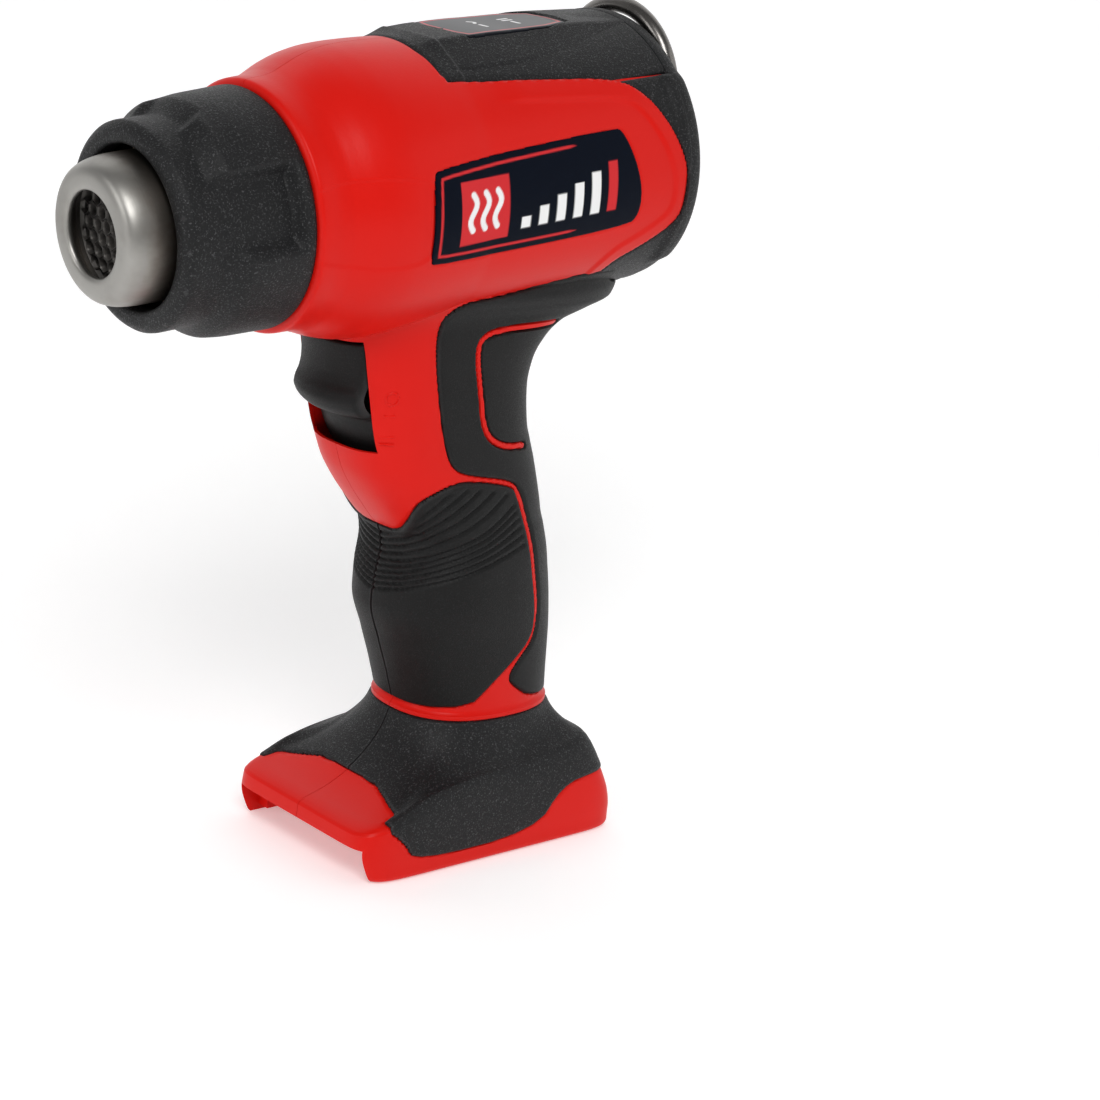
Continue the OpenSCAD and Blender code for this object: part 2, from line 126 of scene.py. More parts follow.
APRON = [(-9, 167.4), (-38, 164), (-40, 156), (-38, 148), (-9, 146), (-4, 156)]
FOOT_PATCH = [(-1.5, 13.7), (4.7, 8.9), (8, 3.6), (45.5, 3.8), (54, 13.6), (66, 15),
    (95, 15), (95, 60), (-1.5, 60)]
# Outline in the plan view, as x and y
TONGUE = [(-30, -25.2), (-6.6, -24.6), (7.4, -21.7), (7.4, 21.7), (-6.6, 24.6), (-30, 25.2)]
# Outline of the black upper cover and rear band, as station and height
BAND = [(77.9, 60), (77.9, 25.8), (80.7, 25.4), (103.6, 23.3), (124.6, 21.5), (131, 17.8),
    (136.1, 10.2), (139.7, 1.7), (140.7, -5.4), (139.4, -11.1), (135.8, -14.2),
    (129.6, -17.4), (124, -19.9), (121.5, -24.8), (119, -60), (160, -60), (160, 60)]
# Height where the upper cover meets the rear cap, and the cover's seat's radius
SPLIT = 21.2
COVER_SEAT = 31.7
# Station and height of the hanging ring's hinge
HINGE_STATION = 147.4
HINGE_HEIGHT = 14.9
# Lean of the slide switch, and its frame's origin in x and height
SWITCH_LEAN = math.radians(10)
SWITCH_PLACE = (-8, 113)
# Half the seam between a left and a right skin
SEAM = 0.04
# Depth of the grips' recesses, and the height below which the rear grip meets the barrel
GRIP_DROP = 0.9
UNDERSIDE = -15


# ------------------------------------------------------------- small maths

def ramp(x, low, high):
    """Smooth step of x: 3t^2 - 2t^3 with t going from 0 at low to 1 at high."""
    t = np.clip((x - low) / (high - low), 0, 1)
    return t * t * (3 - 2 * t)


def smooth(knots, values, x):
    """Monotone cubic through the knots, with Fritsch and Carlson's slopes."""
    k, v = np.asarray(knots, float), np.asarray(values, float)
    h = np.diff(k)
    d = np.diff(v) / h
    near, far = 2 * h[1:] + h[:-1], h[1:] + 2 * h[:-1]
    turn = d[1:] * d[:-1] <= 0
    a, b = np.where(turn, 1, d[:-1]), np.where(turn, 1, d[1:])
    m = np.concatenate([[d[0]], np.where(turn, 0, (near + far) / (near / a + far / b)), [d[-1]]])
    i = np.clip(np.searchsorted(k, x) - 1, 0, len(h) - 1)
    t = np.clip((x - k[i]) / h[i], 0, 1)
    return (v[i] * (2 * t**3 - 3 * t**2 + 1) + v[i + 1] * (3 * t**2 - 2 * t**3)
        + h[i] * m[i] * (t**3 - 2 * t**2 + t) + h[i] * m[i + 1] * (t**3 - t**2))


def cut(rows, times=1, wrap=False):
    """Chaikin's corner cutting along the first axis: each span keeps its middle half."""
    for _ in range(times):
        after = np.roll(rows, -1, axis=0)
        pair = np.stack([0.75 * rows + 0.25 * after, 0.25 * rows + 0.75 * after], axis=1)
        if wrap:
            rows = pair.reshape((-1,) + rows.shape[1:])
        else:
            inner = pair[:-1].reshape((-1,) + rows.shape[1:])
            rows = np.concatenate([rows[:1], inner, rows[-1:]])
    return rows


def respace(rows, count):
    """The same rows taken at count even steps of the mean length along them."""
    stride = np.linalg.norm(np.diff(rows, axis=0), axis=-1)
    stride = stride.reshape(len(stride), -1).mean(axis=1)
    length = np.concatenate([[0], np.cumsum(stride)])
    want = np.linspace(0, length[-1], count)
    i = np.clip(np.searchsorted(length, want) - 1, 0, len(stride) - 1)
    t = ((want - length[i]) / stride[i]).reshape((-1,) + (1,) * (rows.ndim - 1))
    return rows[i] * (1 - t) + rows[i + 1] * t


def edge_distance(x, y, points, closed=True):
    """Least distance from each (x, y) to the line through the points."""
    ends = np.roll(points, -1, axis=0) if closed else points[1:]
    best = np.full(np.shape(x), 1e9)
    for (ax, ay), (bx, by) in zip(points if closed else points[:-1], ends):
        ux, uy = bx - ax, by - ay
        t = np.clip(((x - ax) * ux + (y - ay) * uy) / (ux * ux + uy * uy), 0, 1)
        best = np.minimum(best, np.hypot(x - ax - t * ux, y - ay - t * uy))
    return best


def depth(x, y, outline, rounds=2):
    """Distance inside an outline with rounded corners, and minus the distance outside."""
    points = cut(np.array(outline, float), rounds, wrap=True)
    odd = np.zeros(np.shape(x), bool)
    for (ax, ay), (bx, by) in zip(points, np.roll(points, -1, axis=0)):
        if ay != by:
            odd ^= ((ay > y) != (by > y)) & (x < ax + (y - ay) * (bx - ax) / (by - ay))
    return np.where(odd, 1, -1) * edge_distance(x, y, points)


def line_depth(x, y, line, half):
    """half minus the distance to a rounded open line: positive on a band of that width."""
    return half - edge_distance(x, y, cut(np.array(line, float), 2), closed=False)


# ------------------------------------------------------------ point grids

def weave(n, m, wrap_u=False, wrap_v=False):
    """Quads (i,j) (i+1,j) (i+1,j+1) (i,j+1) of an n by m grid of points."""
    i, j = np.meshgrid(np.arange(n - (not wrap_u)), np.arange(m - (not wrap_v)), indexing="ij")
    up, right = (i + 1) % n, (j + 1) % m
    return np.stack([i * m + j, up * m + j, up * m + right, i * m + right], -1).reshape(-1, 4)


def outward(points, faces):
    """The closed solid (points, faces) with its faces turned so that its volume is positive."""
    volume = 0
    for block in faces:
        first = points[block[:, 0]]
        for k in range(1, block.shape[1] - 1):
            volume += np.einsum("ij,ij->", first,
                np.cross(points[block[:, k]], points[block[:, k + 1]]))
    return points, ([block[:, ::-1] for block in faces] if volume < 0 else list(faces))


def rings(grid):
    """Closed solid through rings of points, with a flat face over each end ring."""
    n, m = grid.shape[:2]
    ends = [np.arange(m)[None, :], (np.arange(m)[::-1] + (n - 1) * m)[None, :]]
    return outward(grid.reshape(-1, 3), [weave(n, m, wrap_v=True)] + ends)


def loop(grid):
    """Closed ring-shaped solid: the grid joins up along both axes."""
    n, m = grid.shape[:2]
    return outward(grid.reshape(-1, 3), [weave(n, m, True, True)])


def box(x0, x1, y0, y1, z0, z1):
    """Upright box between two corners."""
    x, y = np.array([x0, x1, x1, x0]), np.array([y0, y0, y1, y1])
    return rings(np.stack([np.column_stack([x, y, np.full(4, z)]) for z in (z0, z1)]))


def axis_box(s0, s1, y0, y1, h0, h1):
    """Box between two corners given as station, y and height in the barrel's frame."""
    points, faces = box(s0, s1, y0, y1, h0, h1)
    return MOUTH + points[:, :1] * AXIS + points[:, 1:2] * ACROSS + points[:, 2:] * UP, faces


def merged(*solids):
    """Several closed solids as one list of points and faces."""
    points, faces, count = [], [], 0
    for p, f in solids:
        points.append(p)
        faces += [block + count for block in f]
        count += len(p)
    return np.concatenate(points), faces


def normals(grid, wrap=True):
    """Unit normals of a grid, from the cross product of its two central differences."""
    along = np.gradient(grid, axis=0)
    wide = np.concatenate([grid[:, -1:], grid, grid[:, :1]], 1) if wrap else grid
    across = np.gradient(wide, axis=1)
    across = across[:, 1:-1] if wrap else across
    n = np.cross(along, across)
    n /= np.linalg.norm(n, axis=-1, keepdims=True) + 1e-12
    return n


def facing(grid, centre, wrap=True):
    """The grid's normals, turned away from a centre point or line of points."""
    n = normals(grid, wrap)
    return n * np.sign(np.sum(n * (grid - centre)))


def slab(outer, inner, keep, wrap=False):
    """Closed plate between two grids of the same size, over the cells that keep marks.

    The outer cells are kept as they are and the inner ones reversed; each outer
    edge with no neighbour gets a wall down to the inner grid.
    """
    n, m = outer.shape[:2]
    quads = weave(n, m, wrap_v=wrap)
    held = keep.ravel()[quads].all(axis=1)
    quads = quads[held]
    a, b = quads.ravel(), np.roll(quads, -1, axis=1).ravel()
    total = n * m
    rim = ~np.isin(a * total + b, b * total + a)
    a, b = a[rim], b[rim]
    walls = np.stack([b, a, a + total, b + total], -1)
    faces = np.concatenate([quads, quads[:, ::-1] + total, walls])
    points = np.concatenate([outer.reshape(-1, 3), inner.reshape(-1, 3)])
    used, faces = np.unique(faces, return_inverse=True)
    return outward(points[used], [faces.reshape(-1, 4)])


def around(s, r, phi):
    """Barrel point at station s, radius r and angle phi from the top towards -Y."""
    s, r, phi = np.broadcast_arrays(s, r, phi)
    return (MOUTH + s[..., None] * AXIS + (r * np.cos(phi))[..., None] * UP
        - (r * np.sin(phi))[..., None] * ACROSS)


def turn(profile, count=128, phi=None):
    """Rings of a profile of stations and radii, at count even angles or at the given ones."""
    if phi is None:
        phi = np.linspace(0, 2 * math.pi, count, endpoint=False)
    profile = np.asarray(profile, float)
    return around(profile[:, :1], profile[:, 1:], phi[None, :])


def oval(centre, half_x, half_y, power, z, count):
    """Superellipse in polar form: 1/r^p = |cos/a|^p + |sin/b|^p, at an even step of angle."""
    t = np.linspace(0, 2 * math.pi, count, endpoint=False)[None, :]
    a, b, p, c, z = (np.atleast_1d(np.asarray(v, float))[:, None]
        for v in (half_x, half_y, power, centre, z))
    r = (np.abs(np.cos(t) / a) ** p + np.abs(np.sin(t) / b) ** p) ** (-1 / p)
    x = c + r * np.cos(t)
    return np.stack([x, r * np.sin(t), z + 0 * x], -1)


# ------------------------------------------------------------------ meshes

def to_mesh(name, solid):
    """Blender mesh of a solid given in millimetres."""
    points, faces = solid
    mesh = bpy.data.meshes.new(name)
    sizes = np.concatenate([np.full(len(f), f.shape[1]) for f in faces])
    corners = np.concatenate([f.ravel() for f in faces]).astype(np.int32)
    mesh.vertices.add(len(points))
    mesh.vertices.foreach_set("co", (points * 0.001).astype(np.float32).ravel())
    mesh.loops.add(len(corners))
    mesh.loops.foreach_set("vertex_index", corners)
    mesh.polygons.add(len(sizes))
    mesh.polygons.foreach_set("loop_start", (np.cumsum(sizes) - sizes).astype(np.int32))
    mesh.update(calc_edges=True)
    if mesh.validate():
        raise RuntimeError(name + " has faces that Blender had to repair")
    return mesh


def link(name, mesh):
    """Object of a mesh, in the scene's own collection."""
    item = bpy.data.objects.new(name, mesh)
    bpy.context.scene.collection.objects.link(item)
    return item


def carve(name, start, steps):
    """Mesh of a start mesh after exact Boolean steps, each an operation and a solid."""
    body = link("carved", start)
    tools = []
    for operation, solid in steps:
        cutter = solid if isinstance(solid, bpy.types.Mesh) else to_mesh("tool", solid)
        tools.append(link("tool", cutter))
        change = body.modifiers.new("step", "BOOLEAN")
        change.operation = operation
        change.solver = "MANIFOLD"
        change.object = tools[-1]
    bpy.context.view_layer.update()
    graph = bpy.context.evaluated_depsgraph_get()
    result = bpy.data.meshes.new_from_object(body.evaluated_get(graph), depsgraph=graph)
    result.name = name
    for item in [body] + tools:
        spare = item.data
        bpy.data.objects.remove(item)
        if spare.users == 0 and spare is not start:
            bpy.data.meshes.remove(spare)
    if len(result.polygons) < 4:
        raise RuntimeError(name + " came out empty")
    return result


def make(name, solid, body, slot, stands_for=(), crease=35, inks=None):
    """One finished piece: mesh, smooth faces with sharp creases, body, finish."""
    mesh = solid if isinstance(solid, bpy.types.Mesh) else to_mesh(name, solid)
    mesh.name = name
    mesh.shade_smooth()
    mesh.set_sharp_from_angle(angle=math.radians(crease))
    for ink, values in (inks or {}).items():
        layer = mesh.attributes.new(ink, "FLOAT", "POINT")
        layer.data.foreach_set("value", values.astype(np.float32))
    item = link(name, mesh)
    mesh.materials.clear()
    mesh.materials.append(finish(slot))
    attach(item, body)
    if stands_for:
        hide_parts(*stands_for)
    return item


# --------------------------------------------------------------- materials

def wire(tree, node_type, inputs=None, **settings):
    """New node with its settings, and its inputs set to values or joined to outputs."""
    node = tree.nodes.new(node_type)
    for key, value in settings.items():
        setattr(node, key, value)
    for key, value in (inputs or {}).items():
        if isinstance(value, bpy.types.NodeSocket):
            tree.links.new(value, node.inputs[key])
        else:
            node.inputs[key].default_value = value
    return node


def group_start(name, inputs, outputs):
    """Empty node group with named inputs (kind, default) and outputs (kind)."""
    tree = bpy.data.node_groups.new(name, "ShaderNodeTree")
    for key, (kind, value) in inputs.items():
        made = tree.interface.new_socket(name=key, in_out="INPUT", socket_type=kind)
        made.default_value = value
    for key, kind in outputs.items():
        tree.interface.new_socket(name=key, in_out="OUTPUT", socket_type=kind)
    return tree, tree.nodes.new("NodeGroupInput").outputs, tree.nodes.new("NodeGroupOutput").inputs


def blend(tree, share, first, second):
    """Colour that goes from the first to the second with the share."""
    return wire(tree, "ShaderNodeMix", {0: share, 6: first, 7: second},
        data_type="RGBA").outputs[2]


def effect(tree, group, inputs=None):
    """Outputs of a shared effect placed in a material with its own values."""
    return wire(tree, "ShaderNodeGroup", inputs, node_tree=group).outputs


def spark_grain():
    """Spark-eroded grain: fine cells for the height, and a paler colour on their tops as painted
    glints.
    """
    name = "spark_grain"
    if name in bpy.data.node_groups:
        return bpy.data.node_groups[name]
    tree, given, out = group_start(name, {"Size": ("NodeSocketFloat", 900.0),
        "Specks": ("NodeSocketFloat", 0.5), "Colour": ("NodeSocketColor", (0.02, 0.02, 0.02, 1)),
        "Speck Colour": ("NodeSocketColor", (0.16, 0.16, 0.165, 1))},
        {"Height": "NodeSocketFloat", "Colour": "NodeSocketColor", "Roughness": "NodeSocketFloat"})
    place = wire(tree, "ShaderNodeTexCoord").outputs["Object"]
    fine = wire(tree, "ShaderNodeTexNoise", {"Vector": place, "Scale": given["Size"],
        "Detail": 3.0, "Roughness": 0.62}).outputs["Fac"]
    # Painted glints: the grain's tops take a paler colour, a highlight painted into the base
    # colour
    tops = wire(tree, "ShaderNodeMapRange", {"Value": fine, "From Min": 0.56, "From Max": 0.72,
        "To Min": 0.0, "To Max": 1.0}).outputs["Result"]
    share = wire(tree, "ShaderNodeMath", {0: tops, 1: given["Specks"]},
        operation="MULTIPLY").outputs[0]
    tint = blend(tree, share, given["Colour"], given["Speck Colour"])
    rough = wire(tree, "ShaderNodeMapRange", {"Value": fine, "From Min": 0.3, "From Max": 0.7,
        "To Min": 0.62, "To Max": 0.42}).outputs["Result"]
    tree.links.new(fine, out["Height"])
    tree.links.new(tint, out["Colour"])
    tree.links.new(rough, out["Roughness"])
    return tree


def wear_mask():
    """Worn edges: the surface's pointiness, broken up by noise."""
    name = "wear_mask"
    if name in bpy.data.node_groups:
        return bpy.data.node_groups[name]
    tree, given, out = group_start(name, {"Amount": ("NodeSocketFloat", 0.4)},
        {"Mask": "NodeSocketFloat"})
    place = wire(tree, "ShaderNodeTexCoord").outputs["Object"]
    sharp = wire(tree, "ShaderNodeNewGeometry").outputs["Pointiness"]
    edge = wire(tree, "ShaderNodeMapRange", {"Value": sharp, "From Min": 0.52,
        "From Max": 0.6}).outputs["Result"]
    noise = wire(tree, "ShaderNodeTexNoise", {"Vector": place, "Scale": 60.0,
        "Detail": 4.0}).outputs["Fac"]
    both = wire(tree, "ShaderNodeMath", {0: edge, 1: noise}, operation="MULTIPLY").outputs[0]
    mask = wire(tree, "ShaderNodeMath", {0: both, 1: given["Amount"]}, operation="MULTIPLY",
        use_clamp=True).outputs[0]
    tree.links.new(mask, out["Mask"])
    return tree


def soft_blotch():
    """Slow variation of a moulded surface: broad noise as a factor round 1, and fine height."""
    name = "soft_blotch"
    if name in bpy.data.node_groups:
        return bpy.data.node_groups[name]
    tree, given, out = group_start(name, {"Colour": ("NodeSocketColor", (0.5, 0.5, 0.5, 1)),
        "Spread": ("NodeSocketFloat", 0.12), "Roughness": ("NodeSocketFloat", 0.35)},
        {"Colour": "NodeSocketColor", "Roughness": "NodeSocketFloat", "Height": "NodeSocketFloat"})
    place = wire(tree, "ShaderNodeTexCoord").outputs["Object"]
    broad = wire(tree, "ShaderNodeTexNoise", {"Vector": place, "Scale": 22.0,
        "Detail": 2.0}).outputs["Fac"]
    fine = wire(tree, "ShaderNodeTexNoise", {"Vector": place, "Scale": 1400.0,
        "Detail": 2.0}).outputs["Fac"]
    off = wire(tree, "ShaderNodeMath", {0: broad, 1: -0.5}, operation="ADD").outputs[0]
    value = wire(tree, "ShaderNodeMath", {0: off, 1: given["Spread"], 2: 1.0},
        operation="MULTIPLY_ADD").outputs[0]
    shade = wire(tree, "ShaderNodeHueSaturation", {"Value": value, "Color": given["Colour"]})
    rough = wire(tree, "ShaderNodeMath", {0: off, 1: given["Spread"], 2: given["Roughness"]},
        operation="MULTIPLY_ADD", use_clamp=True).outputs[0]
    tree.links.new(shade.outputs["Color"], out["Colour"])
    tree.links.new(rough, out["Roughness"])
    tree.links.new(fine, out["Height"])
    return tree


def turned_marks():
    """Brushed metal: noise stretched round the barrel, as height and as a factor."""
    name = "turned_marks"
    if name in bpy.data.node_groups:
        return bpy.data.node_groups[name]
    tree, given, out = group_start(name, {"Density": ("NodeSocketFloat", 2600.0)},
        {"Height": "NodeSocketFloat", "Cloud": "NodeSocketFloat", "Station": "NodeSocketFloat"})
    place = wire(tree, "ShaderNodeTexCoord").outputs["Object"]
    moved = wire(tree, "ShaderNodeVectorMath", {0: place, 1: Vector(MOUTH * 0.001)},
        operation="SUBTRACT").outputs[0]
    station = wire(tree, "ShaderNodeVectorMath", {0: moved, 1: Vector(AXIS)},
        operation="DOT_PRODUCT").outputs["Value"]
    lines = wire(tree, "ShaderNodeTexNoise", {"W": station, "Scale": given["Density"],
        "Detail": 3.0}, noise_dimensions="1D").outputs["Fac"]
    cloud = wire(tree, "ShaderNodeTexNoise", {"Vector": place, "Scale": 70.0, "Detail": 4.0,
        "Roughness": 0.6}).outputs["Fac"]
    tree.links.new(lines, out["Height"])
    tree.links.new(cloud, out["Cloud"])
    tree.links.new(station, out["Station"])
    return tree


# Base colour, metallic, roughness and coat weight of each finish
PAINT = {
    "red_housing": ((0.6, 0.022, 0.014), 0, 0.34, 0),
    "black_plastic": ((0.006, 0.0062, 0.0068), 0, 0.5, 0),
    "nozzle_steel": ((0.42, 0.4, 0.37), 1, 0.4, 0),
    "honeycomb": ((0.16, 0.15, 0.14), 0.8, 0.5, 0),
    "mica": ((0.62, 0.52, 0.34), 0, 0.4, 0),
    "resistance_wire": ((0.42, 0.4, 0.38), 1, 0.35, 0),
    "ceramic": ((0.82, 0.79, 0.71), 0, 0.6, 0),
    "sheet_steel": ((0.6, 0.6, 0.6), 1, 0.3, 0),
    "fan_plastic": ((0.05, 0.05, 0.055), 0, 0.45, 0),
    "armature": ((0.35, 0.14, 0.05), 0.6, 0.4, 0),
    "magnet": ((0.05, 0.05, 0.05), 0.3, 0.55, 0),
    "contact_brass": ((0.7, 0.48, 0.2), 1, 0.3, 0),
    "circuit_board": ((0.02, 0.13, 0.05), 0, 0.4, 0.3),
    "light_pipe": ((0.85, 0.86, 0.88), 0, 0.25, 0),
    "gloss_panel": ((0.004, 0.006, 0.011), 0, 0.3, 0),
    "filter_foam": ((0.12, 0.12, 0.12), 0.5, 0.7, 0),
    "ring_steel": ((0.2, 0.19, 0.18), 1, 0.24, 0),
    "grip_rubber": ((0.006, 0.006, 0.006), 0, 0.58, 0),
    "label_film": ((0.001, 0.003, 0.009), 0, 0.42, 0),
    "screw_steel": ((0.28, 0.28, 0.28), 1, 0.35, 0),
    "red_insulation": ((0.5, 0.02, 0.015), 0, 0.4, 0),
    "white_insulation": ((0.75, 0.75, 0.72), 0, 0.4, 0),
    "black_insulation": ((0.02, 0.02, 0.02), 0, 0.4, 0),
}
# Grain's scale, share of painted glints on its tops and height in metres
GRAIN_AND_GLINTS = {"black_plastic": (2400.0, 0.55, 0.00012), "grip_rubber": (3000.0, 0.2, 0.00006),
    "fan_plastic": (2400.0, 0.1, 0.00003), "filter_foam": (1600.0, 0.4, 0.0001),
    "honeycomb": (1500.0, 0.4, 0.00005)}
TURNED = {"nozzle_steel", "ring_steel", "sheet_steel", "screw_steel", "resistance_wire"}
INKED = {"label_film", "gloss_panel"}
INK_RED, INK_WHITE = (0.62, 0.03, 0.035, 1), (0.86, 0.86, 0.86, 1)
# Specular level where it differs from 0.4
SHEEN = {"label_film": 0.05, "gloss_panel": 0.15, "red_housing": 0.14, "grip_rubber": 0.2,
    "black_plastic": 0.26}
# Steel's colour from its polished mouth to its heat-stained root
HEAT_TINT = [(0.0, (0.36, 0.35, 0.33)), (0.25, (0.3, 0.29, 0.27)), (0.5, (0.2, 0.18, 0.16)),
    (0.75, (0.12, 0.1, 0.085)), (1.0, (0.07, 0.06, 0.05))]


def grainy_with_glints(tree, slot, colour):
    """Grained finish: painted glints on the grain's tops, and worn edges over them."""
    size, glint_share, strength = GRAIN_AND_GLINTS[slot]
    # Colour of the painted glints on the grain's tops
    glint_colour = (0.13, 0.13, 0.135, 1) if slot == "black_plastic" else (0.05, 0.05, 0.053, 1)
    grain = effect(tree, spark_grain(), {"Size": size, "Specks": glint_share,
        "Colour": (*colour, 1), "Speck Colour": glint_colour})
    wear = effect(tree, wear_mask(), {"Amount": 0.5})
    worn = blend(tree, wear["Mask"], grain["Colour"], (0.09, 0.09, 0.092, 1))
    return {"Base Color": worn, "Roughness": grain["Roughness"]}, grain["Height"], strength


def turned_steel(tree, slot, rough):
    """Brushed finish with clouded roughness; the nozzle's also darkens away from its mouth."""
    marks = effect(tree, turned_marks())
    links = {"Roughness": wire(tree, "ShaderNodeMapRange", {"Value": marks["Cloud"],
        "From Min": 0.3, "From Max": 0.7, "To Min": rough - 0.05,
        "To Max": rough + 0.13}).outputs["Result"]}
    if slot == "nozzle_steel":
        ribbon = tree.nodes.new("ShaderNodeValToRGB")
        while len(ribbon.color_ramp.elements) < len(HEAT_TINT):
            ribbon.color_ramp.elements.new(0.5)
        for element, (at, tone) in zip(ribbon.color_ramp.elements, HEAT_TINT):
            element.position, element.color = at, (*tone, 1)
        cloud = wire(tree, "ShaderNodeMath", {0: marks["Cloud"], 1: -0.5},
            operation="ADD").outputs[0]
        where = wire(tree, "ShaderNodeMapRange", {"Value": marks["Station"],
            "From Min": 0.0, "From Max": 0.014}).outputs["Result"]
        where = wire(tree, "ShaderNodeMath", {0: cloud, 1: 0.9, 2: where},
            operation="MULTIPLY_ADD", use_clamp=True).outputs[0]
        tree.links.new(where, ribbon.inputs["Fac"])
        links["Base Color"] = ribbon.outputs["Color"]
    return links, marks["Height"], 0.00001


def printed(tree, colour):
    """Film's colour, with red ink and then white ink over it where the attributes say."""
    red, white = (wire(tree, "ShaderNodeAttribute", attribute_name=ink).outputs["Fac"]
        for ink in ("ink_red", "ink_white"))
    first = blend(tree, red, (*colour, 1), INK_RED)
    return {"Base Color": blend(tree, white, first, INK_WHITE)}, None, 0


def moulded(tree, colour, rough):
    """Plain moulded finish that varies slowly."""
    blotch = effect(tree, soft_blotch(), {"Colour": (*colour, 1), "Roughness": rough})
    links = {"Base Color": blotch["Colour"], "Roughness": blotch["Roughness"]}
    return links, blotch["Height"], 0.00002


def finish(slot):
    """Material of a slot: built once, from its paint values and the shared effects."""
    if slot in bpy.data.materials and "gun_finish" in bpy.data.materials[slot]:
        return bpy.data.materials[slot]
    colour, metal, rough, coat = PAINT[slot]
    settings = bpy.context.scene.heat_gun_looks
    chosen = {"red_housing": settings.body_colour, "black_plastic": settings.plastic_colour,
        "grip_rubber": settings.rubber_colour, "label_film": settings.label_colour}
    colour = tuple(chosen.get(slot, colour))
    if slot == "red_housing":
        rough = settings.body_roughness
    for old in [m for m in bpy.data.materials if m.name == slot]:
        old.name = slot + "_packed"
    material = bpy.data.materials.new(slot)
    material["gun_finish"] = 1
    material.use_nodes = True
    tree = material.node_tree
    tree.nodes.clear()
    shader = wire(tree, "ShaderNodeBsdfPrincipled", {"Metallic": metal, "Roughness": rough,
        "Coat Weight": coat, "Base Color": (*colour, 1), "Coat Roughness": 0.15,
        "Specular IOR Level": SHEEN.get(slot, 0.4)})
    tree.links.new(shader.outputs[0], wire(tree, "ShaderNodeOutputMaterial").inputs["Surface"])
    if slot in GRAIN_AND_GLINTS:
        links, height, strength = grainy_with_glints(tree, slot, colour)
    elif slot in TURNED:
        links, height, strength = turned_steel(tree, slot, rough)
    elif slot in INKED:
        links, height, strength = printed(tree, colour)
    else:
        links, height, strength = moulded(tree, colour, rough)
    if height is not None:
        links["Normal"] = wire(tree, "ShaderNodeBump", {"Height": height, "Distance": strength,
            "Strength": 1.0}).outputs["Normal"]
    for key, output in links.items():
        tree.links.new(output, shader.inputs[key])
    return material


# ---------------------------------------------------------- shared surfaces

def side_view(grid):
    """x and height of a grid, for the outlines drawn in the side view."""
    return grid[..., 0], grid[..., 2]


def barrel_coordinates(grid):
    """Station and height of a grid's points from the barrel's axis."""
    moved = grid - MOUTH
    return moved @ AXIS, moved @ UP


def barrel_surface(rows=210, columns=400):
    """Red barrel without its recesses: radius smooth(s), with the radial directions."""
    s = np.concatenate([np.linspace(39, 40.6, 9), np.linspace(41, 139.2, rows - 11),
        [139.6, 139.9]])
    r = smooth([39, 39.3, 39.9, 40.8, 43.5, 46.5, 49, 53, 57, 62, 66, 70, 79, 84, 139.2, 139.9],
        [26.3, 27.0, 27.5, 27.6, 27.7, 28.2, 29.1, 30.7, 31.8, 32.45, 32.55, 32.5, 32.1, 31.8,
        31.8, 31.5], s)
    phi = np.linspace(0, 2 * math.pi, columns, endpoint=False)
    grid = around(s[:, None], r[:, None], phi[None, :])
    radial = around(s[:, None], r[:, None] + 1, phi[None, :]) - grid
    return grid, radial


def handle_surface(rows=250, columns=330, grow=0.0, low=31.0, high=146.0):
    """Handle without its recesses: superellipses whose sizes run smoothly with height."""
    z = np.linspace(low, high, rows)
    front, rear, half, power = (smooth(HANDLE[:, 0], HANDLE[:, k], z) for k in range(1, 5))
    grid = oval((front + rear) / 2, (rear - front) / 2 + grow, half + grow, power, z, columns)
    return grid, facing(grid, grid.mean(axis=1, keepdims=True))


def foot_surface(rows=110, columns=420):
    """Battery foot: skirt, sloping facet up to a crease, then a hollow flare to the neck.

    At a share t of the way up, the flare's ring is the neck's plus (1 - t)^1.7 of its
    distance to the crease in plan, and t^1.45 of the rise is behind it.
    """
    def ring(x0, x1, w, z, power=11.0):
        """Section between two x, of half width w."""
        return oval((x0 + x1) / 2, (x1 - x0) / 2, w, power, z, columns)[0]

    crease = ring(-6.7, 66, 25.7, 0)
    x = crease[:, 0]
    crease[:, 1] *= 1 - 0.075 * np.clip(x / 60, 0, 1)
    crease[:, 2] = smooth([-8, -1.5, 7.4, 16.2, 26, 38.8, 51.7, 64.9, 70],
        [12.2, 13.7, 17, 18.7, 19.9, 20.4, 22, 23.7, 24.3], x)
    neck = ring(19.6, 61.2, 17.4, 34, 2.4)
    flare = [neck + (crease - neck) * np.array([(1 - t) ** 1.7] * 2 + [0])
        + np.array([0, 0, 1]) * ((crease - neck)[:, 2:] * (1 - t ** 1.45))
        for t in (0.2, 0.4, 0.6, 0.8)]
    lean = ring(-7, 73.5, 26.5, 9)
    lean[:, 2] = 9.0
    skirt = [ring(-3.9, 73.0, 26.0, 0.0), ring(-4.4, 73.5, 26.5, 0.6), ring(-5.6, 73.5, 26.5, 3),
        ring(-7, 73.5, 26.5, 6.5), 0.8 * lean + 0.2 * crease]
    top = [neck, ring(20.6, 60.2, 16.6, 37, 2.4)]
    grid = respace(cut(np.stack(skirt + [crease] + flare + top), 2), rows)
    return grid, facing(grid, np.array([36, 0, 14.0]))


def grip_depth(grid):
    """Depth inside the rear grip's and the front grip's outlines."""
    x, z = side_view(grid)
    return depth(x, z, REAR_GRIP), depth(x, z, FRONT_GRIP)


def inlay_depth(grid):
    """Depth inside the thin red line in the rear grip."""
    x, z = side_view(grid)
    return line_depth(x, z, INLAY, 0.75)


def band_depth(grid):
    """Depth inside the outline of the black cover and rear band."""
    s, h = barrel_coordinates(grid)
    return depth(s, h, BAND)


def patch_depth(grid):
    """Depth inside the foot's black patch: the side outline less the front tongue."""
    x, z = side_view(grid)
    tongue = depth(x, grid[..., 1], TONGUE, 1)
    return np.minimum(depth(x, z, FOOT_PATCH), -tongue)


